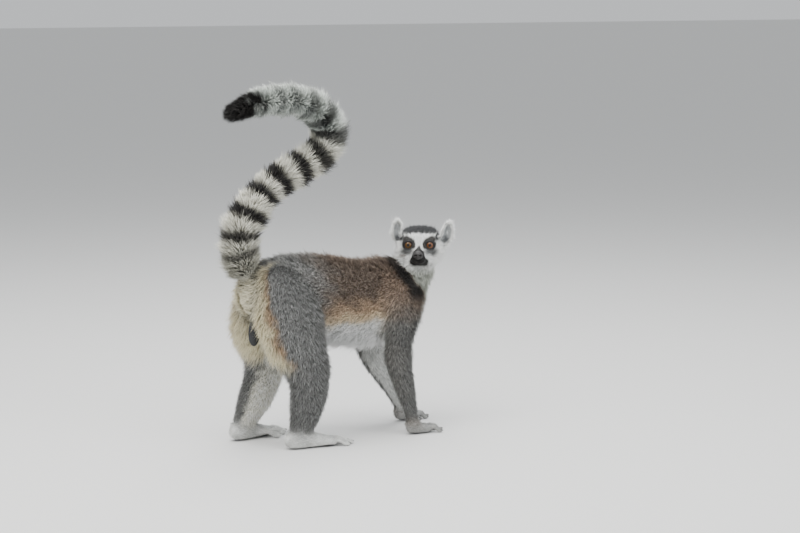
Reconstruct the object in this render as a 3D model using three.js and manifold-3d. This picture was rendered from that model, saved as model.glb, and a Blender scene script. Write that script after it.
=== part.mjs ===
// A ring-tailed lemur as a still, life-size model: it stands on all fours, looks back over its right
// shoulder, and holds its banded tail up in a long hook. Millimetres, +Z up, the animal faces -Y.
//
// Every part of the body is a loft: an oval section carried along a smooth path. Sizes run out to the
// tips of the coat. Where two parts meet, the later one is cut back by the earlier one grown by GAP.
import * as THREE from "three";
import { mergeVertices } from "three/addons/utils/BufferGeometryUtils.js";
import Module from "manifold-3d";

const wasm = await Module();
wasm.setup();

// Driving sizes.
const GAP = 0.3; // left between neighbours
const BACK = 280; // floor to the top of the rump
const W = 54; // half the width of the trunk
const HEAD_TURN = THREE.MathUtils.degToRad(126); // to the animal's right
const HEAD_RAISE = THREE.MathUtils.degToRad(3); // chin lifted from level
const EYES_AT = [283, -17, 287.5]; // the point midway between the eyes: forward, left, up
const EYE_APART = 33.5;
const EYE_RADIUS = 8.6;
const EYE_DEPTH = 0.6; // the eye's centre, behind the point between the eyes
const LEFT_FOOT_BACK = 38; // the left foot stands this far behind the right
const LEFT_HAND_AHEAD = 44; // and the left hand this far before the right

// Colours of the coat and the bare skin.
const GREY_COAT = "#7f7d7b";
const WHITE_COAT = "#d3d2cb";
const RING_COAT = "#8b8a88";
const CREAM_COAT = "#cbbfa6";
const PALE_FOOT = "#b9b8b4";
const DARK_SKIN = "#3a3a3e";
const EYE_AMBER = "#a8591f";

const UP = new THREE.Vector3(0, 0, 1);
const LEFT = new THREE.Vector3(1, 0, 0);

// A point given as distances forward, left and up, in the model's axes.
const place = (forward, left, up) => new THREE.Vector3(left, -forward, up);

// ---- Lofts ---------------------------------------------------------------------------------------

// Catmull-Rom through a row of numbers, at u from 0 to 1.
function through(values, u) {
  const at = u * (values.length - 1);
  const i = Math.min(Math.floor(at), values.length - 2);
  const t = at - i;
  const p1 = values[i];
  const p2 = values[i + 1];
  const p0 = values[i - 1] ?? 2 * p1 - p2;
  const p3 = values[i + 2] ?? 2 * p2 - p1;
  const bend = (3 * (p1 - p2) + p3 - p0) * t + 2 * p0 - 5 * p1 + 4 * p2 - p3;
  return p1 + 0.5 * t * (p2 - p0 + t * bend);
}

// One oval ring of a loft, square to its path at u. wide is its level way and high stands across it.
function section(column, centre, u, sides, grow, across) {
  const ahead = centre(Math.min(1, u + 0.01)).sub(centre(Math.max(0, u - 0.01))).normalize();
  const wide = across.clone().addScaledVector(ahead, -across.dot(ahead)).normalize();
  const high = new THREE.Vector3().crossVectors(ahead, wide);
  const sizes = [3, 4, 5].map((n) => Math.max(0.3, through(column(n), u)) + grow);
  const ring = [];
  for (let s = 0; s < sides; s++) {
    const angle = (2 * Math.PI * s) / sides;
    const rise = Math.sin(angle);
    const point = centre(u).addScaledVector(wide, Math.cos(angle) * sizes[0]);
    ring.push(point.addScaledVector(high, rise * (rise > 0 ? sizes[1] : sizes[2])));
  }
  return ring;
}

// Stations are rows of [forward, left, up, half width, half height above, half height below] across
// the path. On a limb that runs down, above is its front and below its back.
// grow swells it all round, from and to pick a length of it, and its ends are closed by flat fans.
function loft(stations, { sides, rings, from = 0, to = 1, grow = 0, across = LEFT }) {
  const column = (n) => stations.map((row) => row[n]);
  const centre = (u) => place(through(column(0), u), through(column(1), u), through(column(2), u));
  const vertices = [];
  for (let ring = 0; ring <= rings; ring++) {
    const u = from + ((to - from) * ring) / rings;
    vertices.push(...section(column, centre, u, sides, grow, across));
  }
  const first = centre(from);
  const last = centre(to);
  first.addScaledVector(centre(from + 0.01).sub(first).normalize(), -grow);
  last.addScaledVector(centre(to - 0.01).sub(last).normalize(), -grow);
  vertices.push(first, last);
  const [start, end] = [vertices.length - 2, vertices.length - 1];
  const faces = [];
  for (let s = 0; s < sides; s++) {
    const next = (s + 1) % sides;
    for (let ring = 0; ring < rings; ring++) {
      const [a, b] = [ring * sides + s, ring * sides + next];
      faces.push(a, b, b + sides, a, b + sides, a + sides);
    }
    faces.push(start, next, s, end, rings * sides + s, rings * sides + next);
  }
  return new THREE.BufferGeometry().setFromPoints(vertices).setIndex(faces);
}

// ---- Joining and cutting -------------------------------------------------------------------------

function solid(geometry) {
  const bare = geometry.clone();
  bare.deleteAttribute("normal");
  bare.deleteAttribute("uv");
  const merged = mergeVertices(bare, 1e-3);
  const vertProperties = merged.attributes.position.array;
  const triVerts = new Uint32Array(merged.index.array);
  const made = new wasm.Manifold(new wasm.Mesh({ numProp: 3, vertProperties, triVerts }));
  if (made.volume() > 0) return made;
  const turned = triVerts.map((v, i) => triVerts[i - (i % 3) + 2 - (i % 3)]);
  return new wasm.Manifold(new wasm.Mesh({ numProp: 3, vertProperties, triVerts: turned }));
}

function geometryOf(made) {
  const mesh = made.getMesh();
  return new THREE.BufferGeometry()
    .setAttribute("position", new THREE.BufferAttribute(mesh.vertProperties.slice(), 3))
    .setIndex(new THREE.BufferAttribute(mesh.triVerts.slice(), 1));
}

const joined = (solids) => solids.reduce((whole, next) => whole.add(next));
const without = (made, ...cutters) => cutters.reduce((left, cutter) => left.subtract(cutter), made);

// The largest piece, where a cut has left slivers beside it.
function largest(made) {
  return made.decompose().reduce((best, piece) => (piece.volume() > best.volume() ? piece : best));
}

// Everything below the floor, so that soles and palms end in small flats at one level.
const UNDER_FLOOR = solid(new THREE.BoxGeometry(900, 900, 60).translate(0, 0, -30));

// ---- Trunk and neck ------------------------------------------------------------------------------

const TRUNK = [
  [-14, 0, BACK - 40, 12, 14, 22],
  [2, 0, BACK - 48, 0.6 * W, 36, 42],
  [28, 0, BACK - 54, 0.84 * W, 57, 54],
  [62, 0, BACK - 57, 0.96 * W, 67, 67],
  [104, 0, BACK - 64, W, 71, 68],
  [146, 0, BACK - 71, W, 70, 67],
  [188, 0, BACK - 76, 0.97 * W, 68, 67],
  [222, 0, BACK - 78, 0.92 * W, 68, 64],
  [248, 0, BACK - 77, 0.8 * W, 61, 57],
  [268, 0, BACK - 73, 0.62 * W, 43, 45],
  [281, 0, BACK - 70, 0.34 * W, 18, 22],
];
const NECK = [
  [232, 0, 204, 40, 63, 44],
  [252, 0, 221, 42.5, 50, 45],
  [270, 0, 241, 42.5, 39, 41],
  [285, -3, 261, 39, 33, 35],
  [290, -6, 278, 29, 24, 26],
];

// ---- Head ----------------------------------------------------------------------------------------

// In the head's own axes: forward out of the face, left, and up, from the point between the eyes.
const HEAD = [
  [-64, 0, -2, 9, 9, 10],
  [-56, 0, -1, 23, 20, 22],
  [-42, 0, 0, 35, 29, 31],
  [-27, 0, -2, 42, 33, 33],
  [-15, 0, -4, 42.5, 33, 31],
  [-6, 0, -6, 37, 29, 27],
  [1, 0, -8, 24.5, 22, 22],
  [7, 0, -10.5, 15.5, 16.5, 18.5],
  [14, 0, -12.5, 13, 13, 16],
  [24, 0, -14, 13, 11.5, 14.5],
  [33, 0, -15.5, 11.5, 9.5, 12],
  [39, 0, -17, 7.5, 6.5, 8.5],
];
const NOSE = [
  [33, 0, -12, 5.5, 4.5, 4.5],
  [38, 0, -12.5, 7.4, 5.8, 6.4],
  [42, 0, -13.2, 6.8, 5.2, 6.2],
  [44.4, 0, -13.8, 3.6, 3, 3.4],
];
// The left ear is spread, the right one held up closer to the crown. Both as on the left side.
const EARS = {
  left: [
    [-21, 24, 0, 9, 6, 5],
    [-20.5, 34, 5, 10.5, 5.5, 4.5],
    [-20, 41, 12, 11, 4.5, 3.6],
    [-19.5, 43, 19.5, 11, 3.4, 3],
    [-19, 43.3, 27.5, 10.8, 2.6, 2.4],
    [-18.5, 46.5, 34.5, 6.5, 2, 2],
    [-18, 49, 39.5, 2.5, 1.2, 1.2],
  ],
  right: [
    [-21, 22, 0, 8, 6, 5],
    [-20.5, 29.5, 6, 9.5, 5.5, 4.5],
    [-20, 34, 13, 10, 4.5, 3.6],
    [-19.5, 34, 20.5, 10.5, 3.4, 3],
    [-19, 32.8, 28, 10.8, 2.6, 2.4],
    [-18.5, 34.5, 35.5, 6.8, 2, 2],
    [-18, 36, 41, 2.8, 1.2, 1.2],
  ],
};
const EAR_ACROSS = [0.86, 0.34, -0.38]; // the left ear's broad way: left, back, up

// Turns head axes into the model's: raised first, then turned to the right.
const HEAD_MATRIX = new THREE.Matrix4()
  .makeTranslation(place(...EYES_AT))
  .multiply(new THREE.Matrix4().makeRotationZ(-HEAD_TURN))
  .multiply(new THREE.Matrix4().makeRotationX(-HEAD_RAISE));
const onHead = (geometry) => geometry.applyMatrix4(HEAD_MATRIX);

function eyeball(sign, grow = 0) {
  const ball = new THREE.SphereGeometry(EYE_RADIUS + grow, 12, 8);
  return solid(onHead(ball.translate((sign * EYE_APART) / 2, EYE_DEPTH, 0)));
}

function ear(side, sign) {
  const stations = EARS[side].map(([f, l, ...rest]) => [f, sign * l, ...rest]);
  const across = new THREE.Vector3(sign * EAR_ACROSS[0], EAR_ACROSS[1], EAR_ACROSS[2]);
  return solid(onHead(loft(stations, { sides: 12, rings: 7, across })));
}

// ---- Limbs, as they stand on the right -----------------------------------------------------------

const THIGH = [
  [20, -26, 256, 20, 28, 26],
  [30, -31, 230, 28, 44, 46],
  [40, -36, 200, 33, 54, 59],
  [46, -42, 172, 33.5, 52, 58],
  [54, -50, 147, 30, 42, 46],
  [60, -55, 127, 26.5, 35.5, 36],
  [61, -56, 116, 25, 33, 32.5],
];
const SHANK = [
  [61, -56, 120, 25, 33.5, 32.5],
  [61, -57, 100, 25, 33.5, 32],
  [59, -56, 78, 24, 32, 30],
  [55, -54, 54, 21, 27.5, 25.5],
  [49, -53, 34, 16, 22, 20.5],
  [46, -52, 22, 12, 16, 18],
];
const UPPER_ARM = [
  [246, -26, 230, 20, 26, 24],
  [243, -34, 210, 25, 34, 33],
  [236, -41, 187, 25.5, 34, 34],
  [228, -47, 162, 22.5, 28.5, 29.5],
  [223, -50, 138, 20, 25, 26],
  [222, -51, 122, 19, 23.5, 24.5],
];
const FOREARM = [
  [222, -51, 126, 19, 23.5, 24.5],
  [225, -51, 106, 18, 22.5, 23],
  [232, -51, 82, 15.5, 19.5, 20],
  [240, -51, 56, 12.5, 15.5, 16.5],
  [246, -51, 34, 10.5, 12, 13],
  [249, -51, 20, 9, 10, 11],
];
// Where the left limbs' stations differ: moved forward by these.
const LEFT_MOVES = {
  thigh: [0, 0, 0, -1, -4, -8, -9],
  shank: [-9, -13, -20, -30, -36, -LEFT_FOOT_BACK],
  upper_arm: [0, 1, 3, 7, 11, 14],
  forearm: [14, 18, 27, 36, 42, LEFT_HAND_AHEAD],
};
const onSide = (side, name, stations) =>
  side === "right"
    ? stations
    : stations.map(([f, l, ...rest], i) => [f + LEFT_MOVES[name][i], -l, ...rest]);

// ---- Feet and hands ------------------------------------------------------------------------------

// Soles are rows of [forward, left, up, half width, above, below] from the ankle's foot on the floor,
// for a left foot that points ahead. Digits are [root forward, root left, root up, length, half
// thickness, degrees to the left]; the first is the thumb or great toe, on the inner side.
const FOOT = [
  [-20, 0, 13, 6, 7, 8],
  [-12, 0, 15, 11.5, 13, 15],
  [4, 0, 15, 13.5, 16, 16],
  [22, 0, 12, 12.5, 12, 13],
  [42, 1, 9.5, 14, 8.5, 10],
  [54, 2, 8, 12.5, 6, 9],
];
const TOES = [
  [24, -9, 8, 33, 5.4, -36],
  [50, -8, 7, 24, 4.3, -12],
  [53, -2, 7.5, 32, 4.4, -2],
  [52, 5, 7.5, 34, 4.4, 5],
  [47, 11, 7, 29, 4.1, 14],
];
const HAND = [
  [-9, 0, 12, 5, 7, 8],
  [-3, 0, 13, 9.5, 10, 12],
  [9, 0, 10.5, 11, 8.5, 11.5],
  [20, 1, 8.5, 12.5, 7, 10],
  [28, 1, 7.5, 11, 5, 9],
];
const FINGERS = [
  [6, -8, 7, 20, 4.3, -48],
  [24, -8, 7, 19, 3.7, -20],
  [27, -3, 7.5, 24, 3.8, -6],
  [27, 4, 7.5, 25, 3.8, 7],
  [22, 9, 7, 22, 3.6, 24],
];

// A digit arches from its root, bends at its middle joint and ends in a pad and claw on the floor.
function digit([forward, left, up, length, thick, angle]) {
  const heading = THREE.MathUtils.degToRad(angle);
  const point = (along, height, half) => [
    forward + along * length * Math.cos(heading),
    left + along * length * Math.sin(heading),
    height,
    half,
    half,
    half,
  ];
  const stations = [
    point(-0.25, up + 1, thick * 1.1),
    point(0.1, up + 2, thick * 1.1),
    point(0.45, up + 2, thick * 1.05),
    point(0.72, thick * 0.85, thick * 0.95),
    point(0.92, thick * 0.75, thick * 0.9),
    point(1, thick * 0.6, thick * 0.45),
  ];
  const across = LEFT.clone().applyAxisAngle(UP, heading);
  return loft(stations, { sides: 5, rings: 4, across });
}

// A paw is its sole or palm with five digits, trimmed flat underneath and set on the floor.
function paw(side, sole, digits, { forward, left, heading }) {
  const turned = new THREE.Matrix4()
    .makeTranslation(place(forward, left, 0))
    .multiply(new THREE.Matrix4().makeRotationZ(THREE.MathUtils.degToRad(heading)))
    .scale(new THREE.Vector3(side === "right" ? -1 : 1, 1, 1));
  const set = (geometry) => solid(geometry.applyMatrix4(turned));
  const pad = set(loft(sole, { sides: 10, rings: 6 }));
  return without(joined([pad, ...digits.map((d) => set(digit(d)))]), UNDER_FLOOR);
}
const FEET = {
  right: { forward: 46, left: -53, heading: -2 },
  left: { forward: 46 - LEFT_FOOT_BACK, left: 53, heading: 12 },
};
const HANDS = {
  right: { forward: 250, left: -51, heading: 8 },
  left: { forward: 250 + LEFT_HAND_AHEAD, left: 51, heading: 8 },
};

// ---- Tail ----------------------------------------------------------------------------------------

// [forward, left, up, half width, inner and outer half thickness]: out of the rump, up, forward over
// the back and round in a hook towards the animal's right.
const TAIL = [
  [14, 0, 248, 18, 20, 16],
  [-6, -1, 261, 28, 31, 26],
  [-21, -2, 287, 32, 34, 31],
  [-24, -3, 322, 32.5, 32, 32],
  [-9, -4, 352, 31.5, 31, 32],
  [12, -4, 377, 29.5, 29, 29],
  [42, -6, 399, 28.5, 28, 28],
  [77, -9, 418, 29.5, 29, 30],
  [106, -16, 439, 31, 28, 32],
  [114, -22, 467, 31, 27, 34],
  [102, -29, 489, 29, 26, 31],
  [77, -39, 507, 27, 25, 28],
  [46, -49, 517, 25.5, 24, 26],
  [14, -58, 520, 24.5, 24, 25],
  [-15, -68, 520, 24, 24, 24],
  [-46, -78, 516, 23, 23, 23],
  [-79, -90, 507, 19, 19, 19],
  [-104, -97, 499, 7, 7, 7],
];
const TAIL_LENGTHS = 6;
const TAIL_RUN = 620; // its length along the middle

// One of the tail's lengths; they meet at flat ends a GAP apart.
function tailLength(n) {
  const half = GAP / 2 / TAIL_RUN;
  const from = n / TAIL_LENGTHS + (n > 0 ? half : 0);
  const to = (n + 1) / TAIL_LENGTHS - (n < TAIL_LENGTHS - 1 ? half : 0);
  return solid(loft(TAIL, { sides: 14, rings: 5, from, to }));
}

// ---- The animal ----------------------------------------------------------------------------------

const pieces = new Map();
const add = (name, made, colour, roughness = 0.9) => pieces.set(name, { made, colour, roughness });

const trunkOf = (grow) => solid(loft(TRUNK, { sides: 20, rings: 14, grow }));
const neckOf = (grow) => solid(loft(NECK, { sides: 16, rings: 5, grow }));
const headOf = (grow) => solid(onHead(loft(HEAD, { sides: 20, rings: 14, grow })));
const noseOf = (grow) => solid(onHead(loft(NOSE, { sides: 10, rings: 4, grow })));
const trunkCutter = trunkOf(GAP);
const headCutter = headOf(GAP);

function addHeadAndNeck() {
  add("trunk", trunkOf(0), GREY_COAT);
  add("neck", largest(without(neckOf(0), trunkCutter, headCutter)), WHITE_COAT);
  const sockets = [eyeball(-1, GAP), eyeball(1, GAP)];
  add("head", largest(without(headOf(0), trunkCutter, noseOf(GAP), ...sockets)), WHITE_COAT);
  add("nose", noseOf(0), DARK_SKIN, 0.45);
  for (const [side, sign] of [["right", -1], ["left", 1]]) {
    add(`eye_${side}`, eyeball(sign), EYE_AMBER, 0.15);
    add(`ear_${side}`, largest(without(ear(side, sign), headCutter)), WHITE_COAT);
  }
}

// A limb's upper part is cut by the trunk and neck, and each next part by the one above it.
function addLimb(side, names, upperStations, lowerStations, pawMade) {
  const upper = (grow) =>
    solid(loft(onSide(side, names[0], upperStations), { sides: 14, rings: 8, grow }));
  const lower = (grow) =>
    solid(loft(onSide(side, names[1], lowerStations), { sides: 12, rings: 6, grow }));
  add(`${names[0]}_${side}`, largest(without(upper(0), trunkCutter, neckOf(GAP))), GREY_COAT);
  add(`${names[1]}_${side}`, largest(without(lower(0), upper(GAP), trunkCutter)), GREY_COAT);
  add(`${names[2]}_${side}`, largest(without(pawMade, lower(GAP))), PALE_FOOT);
  return upper(GAP);
}

const SCROTUM = [
  [2, -3, 196, 6, 6, 6],
  [-1, -4, 186, 9, 9, 9],
  [-3, -5, 172, 10, 10, 10],
  [-4, -5, 160, 8.5, 8, 8],
  [-4, -5, 153, 4, 4, 4],
];

addHeadAndNeck();
const thighs = [];
for (const side of ["right", "left"]) {
  const foot = paw(side, FOOT, TOES, FEET[side]);
  const hand = paw(side, HAND, FINGERS, HANDS[side]);
  thighs.push(addLimb(side, ["thigh", "shank", "foot"], THIGH, SHANK, foot));
  addLimb(side, ["upper_arm", "forearm", "hand"], UPPER_ARM, FOREARM, hand);
}
const scrotum = solid(loft(SCROTUM, { sides: 12, rings: 7 }));
add("scrotum", largest(without(scrotum, trunkCutter, ...thighs)), DARK_SKIN, 0.8);
for (let n = 0; n < TAIL_LENGTHS; n++) {
  const cutters = n < 2 ? [trunkCutter, ...thighs] : [];
  add(`tail_${n + 1}`, largest(without(tailLength(n), ...cutters)), n < 1 ? CREAM_COAT : RING_COAT);
}

const lemur = new THREE.Group();
for (const [name, { made, colour, roughness }] of pieces) {
  const material = new THREE.MeshStandardMaterial({ color: colour, roughness, metalness: 0 });
  const mesh = new THREE.Mesh(geometryOf(made), material);
  mesh.name = name;
  lemur.add(mesh);
}

// The origin is on the floor, under the middle of the model's box.
const box = new THREE.Box3().setFromObject(lemur);
const centre = box.getCenter(new THREE.Vector3());
lemur.position.set(-centre.x, -centre.y, -box.min.z);

export default lemur;
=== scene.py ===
# %% [markdown]
# # A ring-tailed lemur, modelled as a museum figure
# The figure stands on all fours, looks back over its right shoulder and holds its banded tail up in a
# hook. The solids of the frame give its outline out to the tips of the coat. Here they are replaced by
# one skin that lies deeper by the depth of the hair, and by the hair itself as thin solid tufts.

import math

import bmesh
import bpy
import numpy as np
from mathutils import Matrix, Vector


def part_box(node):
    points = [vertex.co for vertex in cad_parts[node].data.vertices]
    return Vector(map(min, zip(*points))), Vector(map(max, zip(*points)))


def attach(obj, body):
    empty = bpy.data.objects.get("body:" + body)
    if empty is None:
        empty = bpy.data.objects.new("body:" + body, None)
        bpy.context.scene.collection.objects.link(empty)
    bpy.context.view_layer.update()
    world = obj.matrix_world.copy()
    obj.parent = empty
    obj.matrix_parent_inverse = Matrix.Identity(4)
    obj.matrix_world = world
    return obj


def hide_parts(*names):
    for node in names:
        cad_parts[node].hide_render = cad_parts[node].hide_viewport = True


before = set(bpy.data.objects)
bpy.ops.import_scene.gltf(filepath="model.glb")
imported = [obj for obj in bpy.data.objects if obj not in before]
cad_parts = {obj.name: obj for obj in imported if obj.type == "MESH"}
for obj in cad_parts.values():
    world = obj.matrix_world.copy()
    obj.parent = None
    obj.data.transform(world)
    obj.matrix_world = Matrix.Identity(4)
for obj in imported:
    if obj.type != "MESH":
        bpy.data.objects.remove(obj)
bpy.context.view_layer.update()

# %% [markdown]
# The body is worked out in millimetres in axes of its own: X to the animal's left, Y to its back and Z
# up, with the root of the tail near the origin. Two lengths carry it into the frame. They are read off
# the trunk, which is even on both sides, and the pupils of the eyes.

# %% Own axes and the frame's
MM = 0.001
SHIFT = np.array([9.694, 119.437, 0.0])


def place(forward, left, up):
    """A point or direction given forward, left and up, in the body's own axes."""
    return np.array([left, -forward, up], float)


def to_frame(points):
    return (np.asarray(points) + SHIFT) * MM


rng = np.random.default_rng(20)
print("the body's own axes are shifted by", SHIFT, "mm")

# %% [markdown]
# A limb, the trunk or the tail is a row of oval sections along a smooth path. Each row gives forward,
# left and up, then half the width and half the height above and below the path. These are the sizes of
# the outline; the depth of the coat is taken off them afterwards.

# %% Stations of the body
BACK, W = 280, 54
TRUNK = [
    [-14, 0, BACK - 40, 12, 14, 22],
    [2, 0, BACK - 48, 0.6 * W, 36, 42],
    [28, 0, BACK - 54, 0.84 * W, 57, 54],
    [62, 0, BACK - 57, 0.96 * W, 67, 67],
    [104, 0, BACK - 64, W, 71, 68],
    [146, 0, BACK - 71, W, 70, 67],
    [188, 0, BACK - 76, 0.97 * W, 68, 67],
    [222, 0, BACK - 78, 0.92 * W, 68, 64],
    [248, 0, BACK - 77, 0.8 * W, 61, 57],
    [268, 0, BACK - 73, 0.62 * W, 43, 45],
    [281, 0, BACK - 70, 0.34 * W, 18, 22],
]
NECK = [
    [232, 0, 204, 40, 63, 44],
    [252, 0, 221, 42.5, 50, 45],
    [270, 0, 241, 42.5, 39, 41],
    [285, -3, 261, 39, 33, 35],
    [290, -6, 278, 29, 24, 26],
]
THIGH = [
    [20, -26, 256, 20, 28, 26],
    [30, -31, 230, 28, 44, 46],
    [40, -36, 200, 33, 54, 59],
    [46, -42, 172, 33.5, 52, 58],
    [54, -50, 147, 30, 42, 46],
    [60, -55, 127, 26.5, 35.5, 36],
    [61, -56, 116, 25, 33, 32.5],
]
SHANK = [
    [61, -56, 120, 25, 33.5, 32.5],
    [61, -57, 100, 25, 33.5, 32],
    [59, -56, 78, 24, 32, 30],
    [55, -54, 54, 21, 27.5, 25.5],
    [49, -53, 34, 16, 22, 20.5],
    [46, -52, 22, 12, 16, 18],
]
UPPER_ARM = [
    [246, -26, 230, 20, 26, 24],
    [243, -34, 210, 25, 34, 33],
    [236, -41, 187, 25.5, 34, 34],
    [228, -47, 162, 22.5, 28.5, 29.5],
    [223, -50, 138, 20, 25, 26],
    [222, -51, 122, 19, 23.5, 24.5],
]
FOREARM = [
    [222, -51, 126, 19, 23.5, 24.5],
    [225, -51, 106, 18, 22.5, 23],
    [232, -51, 82, 15.5, 19.5, 20],
    [240, -51, 56, 12.5, 15.5, 16.5],
    [246, -51, 34, 10.5, 12, 13],
    [249, -51, 20, 9, 10, 11],
]
SCROTUM = [
    [2, -3, 196, 6, 6, 6],
    [-1, -4, 186, 9, 9, 9],
    [-3, -5, 172, 10, 10, 10],
    [-4, -5, 160, 8.5, 8, 8],
    [-4, -5, 153, 4, 4, 4],
]
TAIL = [
    [14, 0, 248, 18, 20, 16],
    [-6, -1, 261, 28, 31, 26],
    [-21, -2, 287, 32, 34, 31],
    [-24, -3, 322, 32.5, 32, 32],
    [-9, -4, 352, 31.5, 31, 32],
    [12, -4, 377, 29.5, 29, 29],
    [42, -6, 399, 28.5, 28, 28],
    [77, -9, 418, 29.5, 29, 30],
    [106, -16, 439, 31, 28, 32],
    [114, -22, 467, 31, 27, 34],
    [102, -29, 489, 29, 26, 31],
    [77, -39, 507, 27, 25, 28],
    [46, -49, 517, 25.5, 24, 26],
    [14, -58, 520, 24.5, 24, 25],
    [-15, -68, 520, 24, 24, 24],
    [-46, -78, 516, 23, 23, 23],
    [-79, -90, 507, 19, 19, 19],
    [-104, -97, 499, 7, 7, 7],
]
FOOT = [
    [-20, 0, 13, 6, 7, 8],
    [-12, 0, 15, 11.5, 13, 15],
    [4, 0, 15, 13.5, 16, 16],
    [22, 0, 12, 12.5, 12, 13],
    [42, 1, 9.5, 14, 8.5, 10],
    [54, 2, 8, 12.5, 6, 9],
]
TOES = [
    [24, -9, 8, 33, 5.4, -36],
    [50, -8, 7, 24, 4.3, -12],
    [53, -2, 7.5, 32, 4.4, -2],
    [52, 5, 7.5, 34, 4.4, 5],
    [47, 11, 7, 29, 4.1, 14],
]
HAND = [
    [-9, 0, 12, 5, 7, 8],
    [-3, 0, 13, 9.5, 10, 12],
    [9, 0, 10.5, 11, 8.5, 11.5],
    [20, 1, 8.5, 12.5, 7, 10],
    [28, 1, 7.5, 11, 5, 9],
]
FINGERS = [
    [6, -8, 7, 20, 4.3, -48],
    [24, -8, 7, 19, 3.7, -20],
    [27, -3, 7.5, 24, 3.8, -6],
    [27, 4, 7.5, 25, 3.8, 7],
    [22, 9, 7, 22, 3.6, 24],
]
LEFT_MOVES = {
    "thigh": [0, 0, 0, -1, -4, -8, -9],
    "shank": [-9, -13, -20, -30, -36, -38],
    "upper_arm": [0, 1, 3, 7, 11, 14],
    "forearm": [14, 18, 27, 36, 42, 44],
}
PAWS = {  # forward, left and heading in degrees of each ankle and wrist
    "foot_right": (46, -53, -2),
    "foot_left": (8, 53, 12),
    "hand_right": (250, -51, 8),
    "hand_left": (294, 51, 8),
}
STATIONS = TRUNK, NECK, TAIL, SCROTUM, THIGH, SHANK, UPPER_ARM, FOREARM
print("stations", sum(len(rows) for rows in STATIONS), "for the body,", len(FOOT) + len(HAND), "for the paws")

# %% [markdown]
# A smooth path through the stations is sampled into short straight segments. Each keeps the way ahead,
# the level way across and the way square to both, so that a section can be wide, tall or deeper below
# than above. The coat's depth is taken off the sizes here.


# %% From stations to segments
def through(values, u):
    """Catmull-Rom through the rows of values, at each u from 0 to 1."""
    at = np.clip(u, 0, 1) * (len(values) - 1)
    i = np.minimum(at.astype(int), len(values) - 2)
    t = (at - i)[:, None]
    p1, p2 = values[i], values[i + 1]
    p0 = np.where((i > 0)[:, None], values[np.maximum(i - 1, 0)], 2 * p1 - p2)
    last = len(values) - 1
    p3 = np.where((i + 2 <= last)[:, None], values[np.minimum(i + 2, last)], 2 * p2 - p1)
    bend = (3 * (p1 - p2) + p3 - p0) * t + 2 * p0 - 5 * p1 + 4 * p2 - p3
    return p1 + 0.5 * t * (p2 - p0 + t * bend)


def unit(v):
    return v / np.maximum(np.linalg.norm(v, axis=-1, keepdims=True), 1e-9)


class Chain:
    """A body part as a chain of oval sections, less the depth of its coat."""

    def __init__(self, name, stations, coat, samples, blend, across=(1, 0, 0), floor=1.5, end=1):
        self.name, self.blend = name, blend
        rows = np.array(stations, float)
        u = np.linspace(0, end, samples)
        got = through(rows, u)
        self.u = u
        self.mid = np.stack([got[:, 1], -got[:, 0], got[:, 2]], 1)
        self.outer = np.maximum(got[:, 3:6], 0.3)
        depth = coat(u) if callable(coat) else np.full(samples, float(coat))
        self.size = np.maximum(self.outer - depth[:, None], floor)
        self.ahead = unit(np.gradient(self.mid, axis=0))
        across = np.array(across, float)
        self.wide = unit(across - self.ahead * (self.ahead @ across)[:, None])
        self.high = np.cross(self.ahead, self.wide)
        step = np.linalg.norm(np.diff(self.mid, axis=0), axis=1)
        self.run = np.concatenate([[0], np.cumsum(step)])

    def distance(self, points, first=0, last=None):
        """Signed distance to the skin of this part, and where along and around it each point is."""
        last = len(self.mid) - 1 if last is None else last
        best = np.full(len(points), 1e3)
        along = np.zeros(len(points))
        turn = np.zeros((len(points), 2))
        for i in range(first, last):
            a, b = self.mid[i], self.mid[i + 1]
            step = b - a
            t = np.clip((points - a) @ step / (step @ step), 0, 1)
            q = points - a - t[:, None] * step
            s0, s1 = self.size[i], self.size[i + 1]
            x, y, z = q @ self.wide[i], q @ self.high[i], q @ self.ahead[i]
            w = s0[0] + t * (s1[0] - s0[0])
            h = np.where(y > 0, s0[1] + t * (s1[1] - s0[1]), s0[2] + t * (s1[2] - s0[2]))
            c = np.minimum(w, h)
            k1 = np.sqrt((x / w) ** 2 + (y / h) ** 2 + (z / c) ** 2) + 1e-6
            k2 = np.sqrt((x / w**2) ** 2 + (y / h**2) ** 2 + (z / c**2) ** 2) + 1e-6
            d = (k1 - 1) * k1 / k2
            near = d < best
            best = np.where(near, d, best)
            along = np.where(near, self.u[i] + t * (self.u[i + 1] - self.u[i]), along)
            turn = np.where(near[:, None], np.stack([x / w, y / h], 1) / k1[:, None], turn)
        return best, along, turn


def left_of(stations, name):
    moves = LEFT_MOVES[name]
    return [[f + moves[i], -l, *rest] for i, (f, l, *rest) in enumerate(stations)]


def tail_core(u):
    return through(np.array(TAIL, float), u)[:, 3] * 0.68


def shank_coat(u):
    return np.interp(u, [0, 0.4, 1], [6.2, 5.2, 2.8])


def forearm_coat(u):
    return np.interp(u, [0, 0.4, 1], [5, 4, 2.4])


chains = [
    Chain("trunk", TRUNK, 9.5, 28, 0),
    Chain("neck", NECK, 9, 12, 16),
    Chain("tail", TAIL, tail_core, 70, 9, floor=3.2, end=0.955),
    Chain("scrotum", SCROTUM, 0.6, 8, 4),
]
for side in ("right", "left"):
    for name, stations, coat, samples, blend in (
        ("thigh", THIGH, 7.6, 16, 16),
        ("shank", SHANK, shank_coat, 14, 12),
        ("upper_arm", UPPER_ARM, 7, 13, 16),
        ("forearm", FOREARM, forearm_coat, 12, 9),
    ):
        rows = stations if side == "right" else left_of(stations, name)
        chains.append(Chain(f"{name}_{side}", rows, coat, samples, blend))
print(len(chains), "chains; the tail runs", round(chains[2].run[-1]), "mm")

# %% [markdown]
# A foot or a hand is a short chain for the sole or palm and one chain for each digit. A digit arches up
# at the knuckle and comes down on its pad, so its tip has its own small swelling.


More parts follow.
